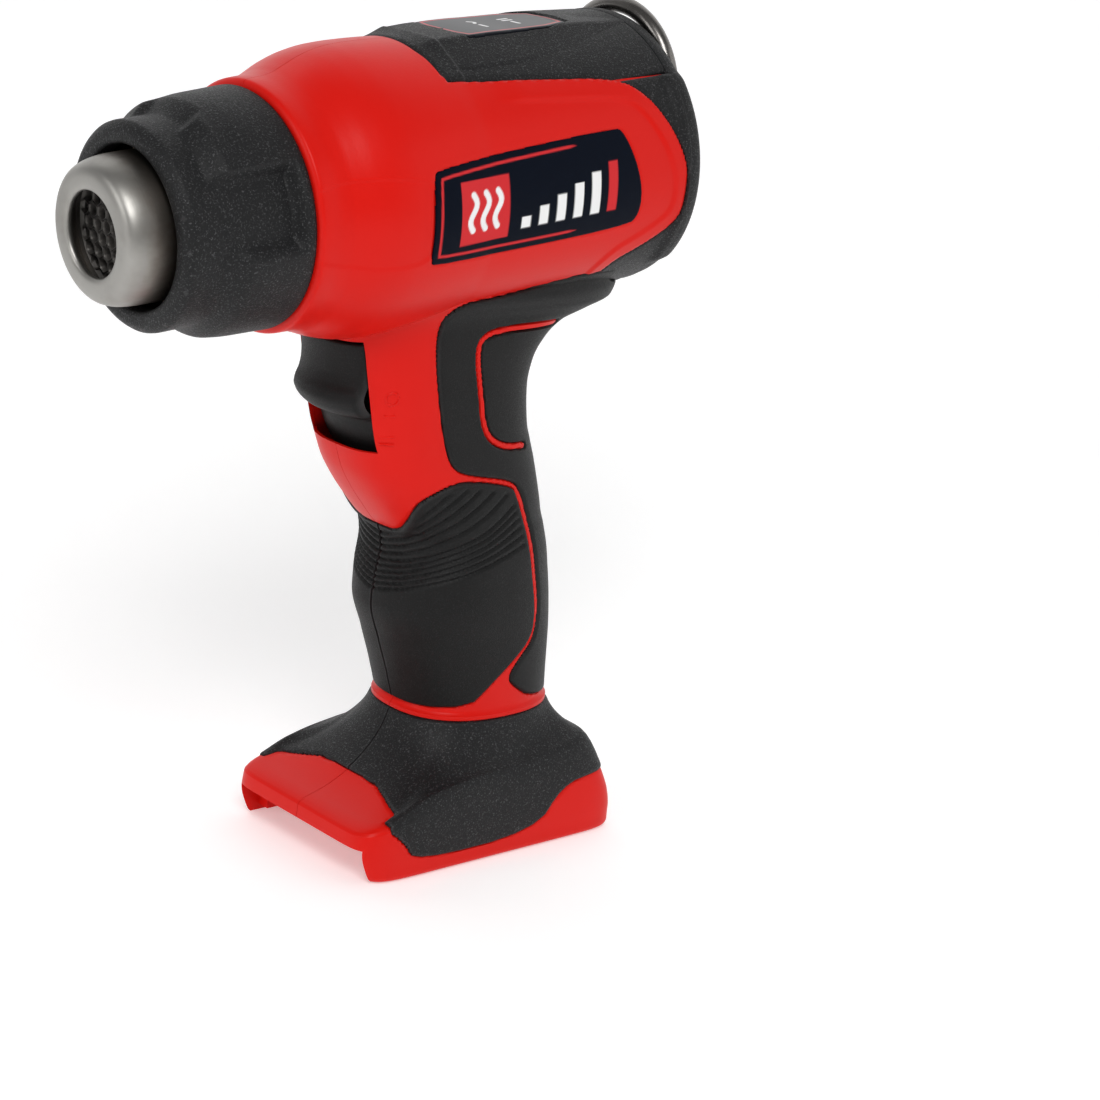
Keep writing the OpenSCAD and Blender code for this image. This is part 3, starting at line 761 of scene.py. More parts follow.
def step(d, drop):
    """Minus the depth of a recess whose wall is 0.45 mm wide, across its outline."""
    return -drop * ramp(d, -0.15, 0.3)


def pillow(d, lift, drop=0.8, width=0.9):
    """Height of a covering piece: a quarter ellipse from its sunk outline to its full lift."""
    t = np.clip(d / width, 0, 1)
    return -drop + (lift + drop) * np.sqrt(1 - (1 - t) ** 2)


# ------------------------------------------------------------------- pieces

def barrel_body():
    """Barrel with its recesses, and a low ridge along the upper cover's edge."""
    grid, out = barrel_surface()
    s, h = barrel_coordinates(grid)
    x, z = side_view(grid)
    rear, _ = grip_depth(grid)
    band, label, apron = band_depth(grid), depth(x, z, LABEL), depth(x, z, APRON)
    side = ramp(np.abs(grid[..., 1]), 20, 22)
    offset = step(np.where(h < UNDERSIDE, rear, -9), GRIP_DROP) + step(band, 1.0)
    offset += side * step(label, 0.35) - side * 0.3 * ramp(apron, -0.3, 0.3) * ramp(-label, -1, 0)
    offset += 0.45 * ramp(band, -4.4, -3.3) * ramp(-band, -9, 0.2) * ramp(s, 88, 98)
    return rings(grid + out * offset[..., None])


def handle_body():
    """Handle with the grips' recesses, the red line left standing and a bead at its foot."""
    grid, out = handle_surface()
    rear, front = grip_depth(grid)
    red_line = ramp(inlay_depth(grid), -0.2, 0.2)
    z = grid[..., 2]
    offset = step(rear, GRIP_DROP) * (1 - red_line) + step(front, GRIP_DROP) + 0.25 * red_line
    offset += 0.9 * ramp(z, 31.2, 31.9) * (1 - ramp(z, 32.9, 33.5))
    return rings(grid + out * offset[..., None])


def switch_pocket():
    """Hollow that the switch's plate runs in, 0.8 mm behind the handle's front."""
    lining, _ = handle_surface(140, 160, -0.8, 84, 142)
    return carve("pocket", to_mesh("pocket", rings(lining)),
        [("INTERSECT", lean_box(-14, 11, -12.1, 12.1, -25, 21))])


def housing_mesh():
    """Both halves of the housing in one: three surfaces joined, less all that is hollow."""
    grid, out = foot_surface()
    foot = rings(grid + out * step(patch_depth(grid), 0.7)[..., None])
    inside, _ = handle_surface(120, 120, -3.6, 36, 147)
    hollows = [
        rings(turn([[36, 24.3], [49, 24.3], [50, 26.6], [58, 29.0], [147, 29.0]])),
        rings(inside),
        lean_box(-14, 9, -12, 12, -14, 13),
        switch_pocket(),
        # Leads' way through the neck, then the battery's slide with its terminal recess
        box(24, 62, -13, 13, 10.5, 24),
        box(27, 55, -12, 12, 20, 38),
        box(-40, 67.5, -23.6, 23.6, -1, 8.2),
        box(29.9, 62.1, -14.7, 14.7, 7, 10.6)]
    steps = [("UNION", handle_body()), ("UNION", foot)]
    steps += [("DIFFERENCE", hollow) for hollow in hollows]
    for y in (-22, 22):
        steps.append(("UNION", box(0, 68.5, y - 1.8, y + 1.7, 1.4, 3.6)))
    for x, z in screw_places():
        steps.append(("DIFFERENCE", post(x, z, 9, 40, 3.1)))
    return carve("housing", to_mesh("housing", barrel_body()), steps)


def screw_places():
    """x and height of each screw's axis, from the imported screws' heads."""
    mesh = frame["nodes"]["housing_screws"].data
    points = np.array([v.co for v in mesh.vertices]) * 1000
    heads = points[points[:, 1] > points[:, 1].max() - 0.05][:, [0, 2]]
    found = []
    for point in heads:
        near = heads[np.hypot(*(heads - point).T) < 7].mean(axis=0)
        if all(np.hypot(*(near - other)) > 3 for other in found):
            found.append(near)
    return found


def post(x, z, y0, y1, radius, count=40):
    """Round post along Y."""
    t = np.linspace(0, 2 * math.pi, count, endpoint=False)
    ring = np.column_stack([x + radius * np.cos(t), 0 * t, z + radius * np.sin(t)])
    return rings(np.stack([ring + [0, y0, 0], ring + [0, y1, 0]]))


def switch_frame(points):
    """Points of the switch's own leaning frame, in the row frame."""
    c, s = math.cos(SWITCH_LEAN), math.sin(SWITCH_LEAN)
    x, y, z = points[..., 0], points[..., 1], points[..., 2]
    return np.stack([SWITCH_PLACE[0] + c * x - s * z, y, SWITCH_PLACE[1] + s * x + c * z], -1)


def lean_box(x0, x1, y0, y1, z0, z1):
    """Box in the switch's leaning frame."""
    points, faces = box(x0, x1, y0, y1, z0, z1)
    return switch_frame(points), faces


def build_housing():
    """Left and right halves, parted by a thin seam in the middle plane."""
    whole = housing_mesh()
    for name, y0, y1 in (("left", -60, -0.07), ("right", 0.07, 60)):
        half = carve("housing_" + name, whole, [("INTERSECT", box(-120, 120, y0, y1, -20, 240))])
        make("shell_" + name, half, "housing", "red_housing", ("housing_" + name,))


def build_collar():
    """Heat collar: a turned profile, with side recesses between raised lobes.

    The lobes' radius rises from the front ring's to smooth(s).  A recess stays near
    the ring's until station 34.4, and the two blend over the angles of the bevels.
    """
    ring_r = 22.4
    s = np.concatenate([np.linspace(11.4, 15, 8), np.linspace(15.4, 38.2, 100), [38.5, 38.7]])
    phi = np.linspace(-math.pi, math.pi, 320, endpoint=False)
    angle = np.abs(np.degrees(phi))[None, :]
    station = s[:, None]
    start = 18 - 2.4 * ramp(angle, 16, 24) * (1 - ramp(angle, 56, 62))
    rise = ramp(station, start, start + 5.5)
    high = smooth([0, 22, 27, 32, 39, 50], [25.3, 25.4, 25.9, 26.1, 26.3, 26.3], s)[:, None]
    lobe = ring_r + (high - ring_r) * rise
    low = ring_r + 0.6 * ramp(station, 12, 34) + (high - 23) * ramp(station, 34.4, 37)
    hollow = ramp(angle, 55, 60.5) * (1 - ramp(angle, 91, 100))
    radius = np.minimum(lobe, lobe * (1 - hollow) + low * hollow)
    radius = radius - 0.35 * ramp(station, 38.0, 38.7)
    front = cut(np.array([[13, 17.4], [9.8, 17.4], [9, 18.2], [9, 19.6], [9.1, 20.6], [9.8, 21.7],
        [10.7, 22.3]]), 2)
    back = np.array([[38.7, 24.2], [48.5, 24.2], [48.5, 21.8], [24, 21.8], [20, 19.6], [13, 19.6]])
    grid = np.concatenate([turn(front, phi=phi), around(station, radius, phi[None, :]),
        turn(back, phi=phi)])
    make("heat_collar", loop(grid), "housing", "black_plastic", ("nozzle_collar",))


def build_nozzle():
    """Steel nozzle, turned from a closed profile, and the hexagon grid in its mouth.

    A cell's radius at each angle is a mix of a circle and a hexagon, cos 30 degrees
    over the cosine of the angle from the nearest flat; wide rings are more hexagonal.
    """
    profile = np.array([[22, 16], [11, 16], [8.6, 15.97], [6.6, 15.9], [5, 15.75], [3.4, 15.45],
        [2, 15], [1, 14.4], [0.4, 13.6], [0.1, 12.6], [0, 11.4], [0, 10.2], [0.25, 9.4],
        [0.9, 9.1], [1.7, 9.3], [2.2, 10.4], [2.9, 12.6], [4.4, 14.3], [6.2, 15.0], [12, 15.0],
        [60, 15.0], [62, 15.0], [62, 15.5], [60, 15.5], [23, 15.5], [22.2, 15.6]])
    make("nozzle", loop(turn(cut(profile, 2, wrap=True), 160)), "housing", "nozzle_steel",
        ("nozzle_tube",), crease=50)
    pitch = 3.25
    i, j = np.meshgrid(np.arange(-5, 6), np.arange(-5, 6), indexing="ij")
    centre = np.stack([pitch * (i + j / 2), pitch * math.sqrt(0.75) * j], -1).reshape(-1, 2)
    centre = centre[np.hypot(*centre.T) < 12.9]
    angle = np.linspace(0, 2 * math.pi, 30, endpoint=False)
    hexagon = math.cos(math.pi / 6) / np.cos((angle % (math.pi / 3)) - math.pi / 6)
    rows = cut(np.array([[1.88, 15], [1.88, 6.9], [1.72, 6.25], [1.5, 6.2], [1.28, 6.7],
        [1.18, 7.6], [1.18, 15]]), 1)
    corners = np.clip((rows[:, 0] - 1.15) / 0.7, 0.45, 1)[:, None]
    shape = rows[:, :1] * (corners * hexagon[None, :] + (1 - corners))
    turned = angle + math.pi / 6
    y = centre[:, 0, None, None] + (shape * np.cos(turned))[None]
    h = centre[:, 1, None, None] + (shape * np.sin(turned))[None]
    s = np.broadcast_to(rows[None, :, 1:], y.shape)
    grid = MOUTH + s[..., None] * AXIS + h[..., None] * UP + y[..., None] * ACROSS
    rim = loop(turn([[6.2, 14.9], [15, 14.9], [15, 12.6], [6.9, 12.6], [6.2, 13.2]], 96))
    make("outlet_grid", merged(rim, *[loop(cell) for cell in grid]), "housing", "honeycomb",
        ("outlet_honeycomb",))


def cover_radius(s, phi):
    """Radius of the upper cover: a flat top, a slope, a facet, and a ramp at its front.

    The section is an outline in units of the top's height, read as a radius at each
    angle and scaled by smooth(s).
    """
    height = smooth([70, 84, 90, 97, 108, 120, 138, 150],
        [32.2, 32.6, 32.8, 32.8, 32.5, 32.2, 31.1, 30.4], s)
    line = respace(cut(np.array([[0, 1.0], [8.4, 0.995], [9.5, 0.985], [10.4, 0.965],
        [16.3, 0.84], [17, 0.815], [17.5, 0.79], [21.6, 0.715], [27, 0.52]]), 1), 300)
    unit = np.column_stack([line[:, 0], line[:, 1] * 32.7])
    bearing, far = np.arctan2(unit[:, 0], unit[:, 1]), np.hypot(*unit.T)
    shape = np.interp(np.abs(phi), bearing, far) / 32.7
    raised = np.maximum(height * shape, COVER_SEAT - 0.1)
    return COVER_SEAT + (raised - COVER_SEAT) * ramp(s, 77.5, 85)


def build_cover():
    """Black upper cover, and the glossy status panel let into its flat top."""
    s = np.linspace(76, 139.9, 200)[:, None]
    phi = np.radians(np.linspace(-64, 64, 330))[None, :]
    reach = cover_radius(s, phi)
    grid = around(s, reach, phi)
    flat = around(s, COVER_SEAT, phi)
    band = band_depth(flat)
    st, h = barrel_coordinates(flat)
    outline = np.minimum(band, h - SPLIT)
    y = grid[..., 1]
    panel = depth(st, y, [(91.5, -10), (96, -10.4), (124, -9.4), (126, 0), (124, 9.4), (96, 10.4),
        (91.5, 10)], 1)
    lift = pillow(outline, 0.15, 1.0, 1.3) - 0.45 * ramp(panel, -0.1, 0.2)
    lift += 0.35 * ramp(st, 76, 77) * (1 - ramp(st, 83.6, 84.6))
    out = around(s, reach + 1, phi) - grid
    inner = around(s, 30.0, phi)
    make("upper_cover", slab(grid + out * lift[..., None], inner, outline > -0.05), "housing",
        "black_plastic", ("top_cover",))
    # The status panel lies in the cover's flat top
    fine = np.linspace(91, 127, 190)[:, None]
    across = np.linspace(-11, 11, 116)[None, :]
    height = smooth([84, 97, 108, 120, 138], [32.6, 32.8, 32.5, 32.2, 31.1], fine[:, 0])[:, None]
    st = fine + 0 * across
    y = across + 0 * fine
    d = depth(st, y, [(91.9, -9.6), (96, -10), (123.7, -9), (125.6, 0), (123.7, 9), (96, 10),
        (91.9, 9.6)], 1)

    def plate(h):
        """Points at these stations and y, at the given heights."""
        return MOUTH + st[..., None] * AXIS + h[..., None] * UP + y[..., None] * ACROSS

    top = height - 0.28 + 0 * across - 0.25 * (1 - ramp(d, 0, 0.5))
    solid = slab(plate(top), plate(height - 1.1 + 0 * across), d > 0)
    stroke = np.maximum.reduce([line_depth(st, y, line, 0.42) for line in (
        [(103.5, -3.4), (103.5, -0.9)], [(103.5, 0.9), (104.6, 2.2), (103.5, 3.4)],
        [(113, -3.4), (113, -0.9)], [(111.8, 0.9), (114.2, 0.9)], [(111.8, 2.6), (114.2, 2.6)])])
    border = 0.28 - np.abs(d - 1.3)
    make_inked("status_plate", solid, "gloss_panel", ("status_panel",), plate(top),
        border * ramp(st, 92, 93), stroke)


def make_inked(name, solid, slot, stands_for, surface, red, white):
    """Printed plate: each outer vertex takes the inks of its own point of the surface.

    The point is looked up by position, with a sorted search on coordinates rounded
    to 0.005 mm and packed into one integer.
    """
    def key(points):
        """Rounded position as one integer."""
        return np.round(points * 200).astype(np.int64) @ np.array([1, 1 << 20, 1 << 40])

    wanted, known = key(solid[0]), key(surface.reshape(-1, 3))
    order = np.argsort(known)
    at = np.clip(np.searchsorted(known[order], wanted), 0, len(order) - 1)
    hit = known[order][at] == wanted
    inks = {}
    for ink, field in (("ink_red", red), ("ink_white", white)):
        inks[ink] = np.where(hit, ramp(field.ravel()[order][at], -0.12, 0.14), 0)
    return make(name, solid, "housing", slot, stands_for, inks=inks)


def build_rear():
    """Rear cap: the band round the barrel's end, the slotted face and the ring's lugs."""
    s = np.linspace(116, 140.6, 90)[:, None]
    phi = np.radians(np.linspace(0, 360, 420, endpoint=False))[None, :]
    degrees = np.abs((np.degrees(phi) + 180) % 360 - 180)
    bump = 0.9 * ramp(degrees, 46, 54) * (1 - ramp(degrees, 132, 140))
    base = around(s, 31.8 + 0 * phi, phi)
    band = band_depth(base)
    st, h = barrel_coordinates(base)
    outline = np.minimum(band, SPLIT - h)
    reach = 31.8 + pillow(outline, 0.3, 1.0, 1.2) + bump * ramp(st, 136.5, 139.5)
    reach = np.where(st > 139, np.maximum(reach, 31.4 + bump), reach)
    keep = (outline > -0.05) & (st < 140.4)
    skin = slab(around(s, reach, phi), around(s, 30.2 + 0 * phi, phi), keep, wrap=True)
    profile = cut(np.array([[142.4, 27.0], [134.4, 27.0], [134.4, 28.8], [140.0, 28.8],
        [140.0, 31.7], [141, 32.0], [143.4, 31.6], [144.5, 30.6], [144.8, 29.4]]), 1)
    rim = profile[:, 1:] + bump * ramp(profile[:, 1:], 29.5, 31.5) * ramp(profile[:, :1], 139, 140)
    cup = rings(around(profile[:, :1], rim, phi))
    steps = [("UNION", axis_box(144, 149.2, y - 1.7, y + 1.7, 11.5, 18.3)) for y in (-11.8, 11.8)]
    for k in range(-5, 5):
        half = 20 - abs(k)
        steps.append(("DIFFERENCE", axis_box(140, 152, -half, half, 3.6 * k - 8.1, 3.6 * k - 5.9)))
    t = np.linspace(0, 2 * math.pi, 24, endpoint=False)
    circle = (MOUTH + (HINGE_STATION + 1.05 * np.cos(t))[:, None] * AXIS
        + (HINGE_HEIGHT + 1.05 * np.sin(t))[:, None] * UP)
    steps.append(("DIFFERENCE", rings(np.stack([circle + [0, y, 0] for y in (-20, 20)]))))
    face = carve("rear_face", to_mesh("rear_face", cup), steps)
    make("rear_face", face, "housing", "black_plastic", ("rear_cap",))
    make("rear_band", skin, "housing", "black_plastic", ("rear_cap",))


def build_ring():
    """Hanging ring: a round wire along a half circle whose ends turn in to the lugs.

    The path is given as y and height, and its pins are 2 mm thick.
    """
    t = np.linspace(0, math.pi, 41)
    arc = np.column_stack([17.5 * np.cos(t), HINGE_HEIGHT + 17.5 * np.sin(t)])
    end = np.array([[10.4, HINGE_HEIGHT], [14.2, HINGE_HEIGHT], [16.9, HINGE_HEIGHT + 0.3]])
    path = np.concatenate([end, arc[1:-1], end[::-1] * [-1, 1]])
    path = respace(cut(path, 2), 150)
    along = np.gradient(path, axis=0)
    along /= np.linalg.norm(along, axis=1, keepdims=True)
    across = np.column_stack([along[:, 1], -along[:, 0]])
    pin = (np.abs(path[:, 0]) < 13.9) & (path[:, 1] < 15.6)
    wire_r = np.where(pin, 1.0, 1000 * bpy.context.scene.heat_gun_looks.ring_wire)
    angle = np.linspace(0, 2 * math.pi, 28, endpoint=False)
    flat = path[:, None] + (wire_r[:, None] * np.cos(angle))[..., None] * across[:, None]
    s = HINGE_STATION + wire_r[:, None] * np.sin(angle)
    grid = MOUTH + s[..., None] * AXIS + flat[..., 1:] * UP + flat[..., :1] * ACROSS
    make("hook_ring", rings(grid), "ring", "ring_steel", ("hanging_ring",), crease=50)


def build_switch():
    """Slide switch: a plate bowed across, with a thumb ridge and ends that run in.

    Its face's x is smooth(z) in the switch's frame, plus the sagitta of a circle
    of radius 24 mm, plus a quarter-round drop of 0.8 mm at either side.
    """
    z = np.linspace(-17.2, 20.4, 190)[:, None]
    y = np.linspace(-11.6, 11.6, 90)[None, :]
    knots = np.array([[-17.2, 5.6], [-14.5, 4.5], [-12, 3.6], [-9, 2.9], [-7.4, 2.6], [-6.2, 1.4],
        [-4.6, -2.2], [-2.6, -3.6], [-1, -4.0], [0.6, -3.5], [2.6, -2.2], [5, -1.4], [8.5, -1.0],
        [11.6, -0.9], [12.2, -0.2], [12.6, 4.6], [21, 4.6]])
    face = smooth(knots[:, 0], knots[:, 1], z[:, 0])
    bow = 24 - np.sqrt(24**2 - y**2)
    edge = 0.8 * (1 - np.sqrt(1 - np.clip((np.abs(y) - 10.6) / 1.0, 0, 1) ** 2))
    x = face[:, None] + bow + edge
    front, back = (switch_frame(np.stack(np.broadcast_arrays(depth_x, y, z), -1))
        for depth_x in (x, np.maximum(x + 1.5, 0)))
    make("slide_switch", slab(front, back, np.ones(x.shape, bool)), "switch", "grip_rubber",
        ("switch_slider",))


def groove_wave(grid):
    """Index of the finger grooves over the front grip: 0 at the lowest and 10 at the top.

    Three grooves are known as height against the angle round the section; the
    index is the quadratic through the three heights at each angle.
    """
    x, y, z = grid[..., 0], np.abs(grid[..., 1]), grid[..., 2]
    phi = np.degrees(np.arctan2(y, 34.3 - x))
    low = np.interp(phi, [0, 2.7, 21.6, 32, 52.4, 71.6, 92.4, 110],
        [62.9, 63.1, 64.9, 66.3, 68.8, 71.3, 73.9, 76])
    mid = np.interp(phi, [0, 4.5, 19, 35.3, 52.7, 71.2, 90, 110],
        [70.1, 70.3, 71.4, 73.5, 76.7, 80.3, 85, 90])
    top = np.interp(phi, [0, 5.7, 20.6, 30, 38, 46.3, 60, 110],
        [78.2, 78.5, 80.8, 83.2, 87.3, 91.5, 98, 120])
    below = (z - low) / (mid - low) * 5
    above = 5 + (z - mid) / (top - mid) * 5
    index = np.where(z < mid, below, above)
    spacing = np.where(z < mid, (mid - low) / 5, (top - mid) / 5)
    return index, spacing


def build_grips():
    """Rubber grips: pillowed skins over the recesses, grooved in front, inlaid behind."""
    grid, out = handle_surface(rows=290, columns=380, low=33.2)
    rear, front = grip_depth(grid)
    index, spacing = groove_wave(grid)
    away = np.abs(index - np.round(index)) * np.clip(spacing, 1, 4)
    inside = ramp(index, -0.5, -0.3) * (1 - ramp(index, 10.3, 10.5)) * ramp(front, 1.2, 2.2)
    deep = 1000 * bpy.context.scene.heat_gun_looks.groove_depth
    groove = deep * inside * (1 - ramp(away, 0.1, 0.55))
    lift = pillow(front, 0.45) - groove
    outer = grid + out * lift[..., None]
    inner = grid - out * 0.85
    y = grid[..., 1]
    red_line = ramp(inlay_depth(grid), -0.35, 0.05)
    rear_outer = grid + out * (pillow(rear, 0.45) * (1 - red_line) - 0.6 * red_line)[..., None]
    under, radial = barrel_surface(rows=240, columns=420)
    below, _ = grip_depth(under)
    _, h = barrel_coordinates(under)
    below = np.where(h < UNDERSIDE, below, -9)
    under_outer = under + radial * pillow(below, 0.45)[..., None]
    for name, sign in (("left", -1), ("right", 1)):
        here = sign * y > SEAM
        make("front_grip_" + name + "_skin", slab(outer, inner, (front > -0.05) & here, True),
            "housing", "grip_rubber", ("front_grip_" + name,), crease=60)
        there = sign * under[..., 1] > SEAM
        parts = [slab(rear_outer, inner, (rear > -0.05) & here, True),
            slab(under_outer, under - radial * 0.85, (below > -0.05) & there, True)]
        make("rear_grip_" + name + "_skin", merged(*parts), "housing", "grip_rubber",
            ("rear_grip_" + name,), crease=60)


def build_foot():
    """Black textured patches over the foot's saddle, one to each half."""
    grid, out = foot_surface(150, 560)
    d = patch_depth(grid)
    lift = pillow(d, 0.4, 0.65, 0.8)
    lift = lift * (1 - ramp(grid[..., 2], 31, 32)) - 0.6 * ramp(grid[..., 2], 31, 32)
    outer, inner = grid + out * lift[..., None], grid - out * 0.68
    for name, sign in (("left", -1), ("right", 1)):
        keep = (d > -0.05) & (sign * grid[..., 1] > SEAM) & (grid[..., 2] < 32.6)
        make("foot_patch_" + name, slab(outer, inner, keep, True), "housing", "black_plastic",
            ("foot_cover_" + name,), crease=50)


def build_labels():
    """Printed films on the sides: a square with three heat waves, and a rising scale."""
    s = np.linspace(58, 127, 270)[:, None]
    middle_s, middle_h = 79.5, -0.3
    t = np.linspace(-3.1, 3.1, 9)
    wave = np.column_stack([middle_s + 0.95 * np.sin(t), middle_h + 3.9 * t / 3.1])
    for name, sign in (("left", 1), ("right", -1)):
        phi = sign * np.radians(np.linspace(50, 120, 170))[None, :]
        r = smooth([55, 62, 66, 70, 79, 84, 130], [31.4, 32.45, 32.55, 32.5, 32.1, 31.8, 31.8],
            s[:, 0])[:, None] + 0 * phi
        grid = around(s, r, phi)
        out = around(s, r + 1, phi) - grid
        x, z = side_view(grid)
        d = depth(x, z, LABEL)
        outer = grid + out * pillow(d, 0.08, 0.3, 0.4)[..., None]
        solid = slab(outer, grid - out * 0.33, d > 0)
        st, h = barrel_coordinates(grid)
        square = 7.0 - np.maximum(np.abs(st - middle_s), np.abs(h - middle_h))
        waves = [line_depth(st, h, wave + [k, 0], 0.72) for k in (-3.6, 0, 3.6)]
        bars = [np.minimum(1.35 - np.abs(st - 91.5 - 5.1 * k), np.minimum(h + 6.0,
            -3.4 + 1.75 * k - h)) for k in range(6)]
        border = 0.32 - np.abs(d - 1.9) - 2 * ramp(st, 104, 116)
        red = np.maximum.reduce([square, border, bars[5]])
        white = np.maximum.reduce(waves + bars[:5])
        make_inked("side_label_" + name, solid, "label_film", ("label_" + name,), outer, red,
            white)


def build_inside():
    """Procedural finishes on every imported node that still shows."""
    for name, item in frame["nodes"].items():
        if item.hide_render:
            continue
        packed = item.data.materials[0].name if item.data.materials else ""
        slot = packed.replace("_packed", "").split(".")[0]
        if slot not in PAINT:
            raise RuntimeError("no finish for " + name + " with " + packed)
        item.data.materials.clear()
        item.data.materials.append(finish(slot))
        item.data.shade_smooth()
        item.data.set_sharp_from_angle(angle=math.radians(35))


def build_marks():
    """Raised position marks beside the switch: a ring, one bar and two bars."""
    skin = handle_surface(220, 200, 0.05, 95, 125)[0].reshape(-1, 3)
    skin = skin[skin[:, 1] < 0]

    def stroke(points, radius=0.3):
        """Bead along a line drawn in the side view, laid on the nearest point of the skin."""
        path = np.array(points, float)
        along = np.gradient(path, axis=0)
        along /= np.linalg.norm(along, axis=1, keepdims=True)
        across = np.column_stack([-along[:, 1], along[:, 0]])
        t = np.linspace(0, 2 * math.pi, 8, endpoint=False)
        spread = path[:, None] + radius * np.cos(t)[None, :, None] * across[:, None]
        gap = (spread[..., None, 0] - skin[:, 0]) ** 2 + (spread[..., None, 1] - skin[:, 2]) ** 2
        y = skin[gap.argmin(axis=-1), 1] - 0.22 * np.sin(t)
        return rings(np.stack([spread[..., 0], y, spread[..., 1]], -1))

    t = np.linspace(0.2, 2 * math.pi - 0.2, 16)
    marks = [stroke(np.column_stack([-1.6 + 1.3 * np.cos(t), 113.4 + 1.5 * np.sin(t)])),
        stroke([(-2.6, 109.2), (-1.6, 109.3), (-0.6, 109.4)]),
        stroke([(-2.4, 104.2), (-1.2, 104.3), (0, 104.4)]),
        stroke([(-2.2, 102.4), (-1.0, 102.5), (0.2, 102.6)])]
    make("switch_marks", merged(*marks), "housing", "red_housing")


def build_stage():
    """Pale seamless sweep, soft area lights, a bright world and the camera."""
    t = np.concatenate([np.linspace(0, 0.9, 10), 0.9 + 0.5 * np.sin(np.linspace(0.05, 1.57, 24)),
        np.full(8, 1.4)])
    z = np.concatenate([np.zeros(10), 0.5 - 0.5 * np.cos(np.linspace(0.05, 1.57, 24)),
        np.linspace(0.55, 2.4, 8)])
    wide = np.linspace(-2.5, 2.5, 12)
    far = np.array([0.7, 0.72])
    far = far / np.linalg.norm(far)
    side = np.array([-far[1], far[0]])
    grid = np.concatenate([((t - 0.8)[:, None, None] * far + wide[None, :, None] * side),
        np.broadcast_to(z[:, None, None], (len(t), len(wide), 1)) - 0.0005], -1) * 1000
    mesh = to_mesh("floor", (grid.reshape(-1, 3), [weave(len(t), len(wide))[:, ::-1]]))
    mesh.shade_smooth()
    floor = link("floor", mesh)
    pale = bpy.data.materials.new("backdrop")
    pale.use_nodes = True
    sockets = pale.node_tree.nodes["Principled BSDF"].inputs
    sockets["Base Color"].default_value = (0.86, 0.86, 0.86, 1)
    sockets["Roughness"].default_value = 0.9
    sockets["Emission Color"].default_value = (1, 1, 1, 1)
    sockets["Emission Strength"].default_value = 0.33
    mesh.materials.append(pale)
    settings = bpy.context.scene.heat_gun_looks
    for name, place, size, power in (("key", (-0.55, -0.75, 0.95), 0.5, 8.0),
            ("fill", (0.75, -0.85, 0.5), 0.9, 2.2), ("rim", (0.35, 0.8, 0.85), 0.6, 5),
            ("front", (-0.95, 0.05, 0.45), 0.5, 2.2)):
        lamp = bpy.data.lights.new(name, "AREA")
        lamp.size, lamp.energy = size, power * settings.light
        item = link(name, lamp)
        turned = (Vector((0.01, 0, 0.11)) - Vector(place)).to_track_quat("-Z", "Y")
        item.matrix_world = Matrix.Translation(place) @ turned.to_matrix().to_4x4()
    world = bpy.data.worlds.new("studio")
    world.use_nodes = True
    world.node_tree.nodes["Background"].inputs["Color"].default_value = (1, 1, 1, 1)
    world.node_tree.nodes["Background"].inputs["Strength"].default_value = 0.2
    bpy.context.scene.world = world
    eye = bpy.data.cameras.new("camera")
    eye.lens, eye.sensor_width = settings.lens, 36
    camera = link("camera", eye)
    # The camera's own axes, as the columns of its matrix before its place
    right = (0.74118163, -0.66369657, 0.10078023)
    up = (0.12450506, 0.28342839, 0.95087688)
    back = (-0.6596577, -0.69222482, 0.2927055)
    camera.matrix_world = Matrix((
        (right[0], up[0], back[0], -0.38858), (right[1], up[1], back[1], -0.47702),
        (right[2], up[2], back[2], 0.26651), (0, 0, 0, 1)))
    bpy.context.scene.camera = camera
    bpy.context.scene.view_settings.view_transform = "Standard"


# ------------------------------------------------------------------ add-on

class HeatGunLooks(bpy.types.PropertyGroup):
    """Settings of the heat gun's looks."""

    body_colour: FloatVectorProperty(name="Body colour", description="Base colour of the housing",
        subtype="COLOR", size=3, min=0, max=1, default=(0.66, 0.008, 0.004))
    body_roughness: FloatProperty(name="Body roughness", description="Roughness of the housing",
        min=0, max=1, default=0.36, subtype="FACTOR")
    plastic_colour: FloatVectorProperty(name="Plastic colour",
        description="Base colour of the grained black plastic", subtype="COLOR", size=3, min=0,
        max=1, default=PAINT["black_plastic"][0])
    rubber_colour: FloatVectorProperty(name="Rubber colour",
        description="Base colour of the grips and the slide switch", subtype="COLOR", size=3,
        min=0, max=1, default=PAINT["grip_rubber"][0])
    label_colour: FloatVectorProperty(name="Label colour",
        description="Base colour of the side labels", subtype="COLOR", size=3, min=0, max=1,
        default=PAINT["label_film"][0])
    groove_depth: FloatProperty(name="Groove depth",
        description="Depth of the front grip's finger grooves", unit="LENGTH", min=0,
        max=0.0008, default=0.00055, precision=5)
    ring_wire: FloatProperty(name="Ring wire", description="Radius of the hanging ring's wire",
        unit="LENGTH", min=0.001, max=0.002, default=0.002, precision=4)
    light: FloatProperty(name="Light", description="Factor on the power of every lamp",
        min=0, max=4, default=1.0, subtype="FACTOR")
    lens: FloatProperty(name="Lens", description="Focal length of the camera",
        min=20, max=300, default=91.33, unit="CAMERA")


class HEATGUN_OT_stage(bpy.types.Operator):
    """Builds the sweep, the lamps and the camera."""

    bl_idname = "heatgun.stage"
    bl_label = "Stage"
    bl_options = {"REGISTER", "UNDO"}

    def execute(self, context):
        build_stage()
        return {"FINISHED"}


class HEATGUN_OT_housing(bpy.types.Operator):
    """Builds both halves of the housing."""

    bl_idname = "heatgun.housing"
    bl_label = "Housing"
    bl_options = {"REGISTER", "UNDO"}

    def execute(self, context):
        build_housing()
        return {"FINISHED"}


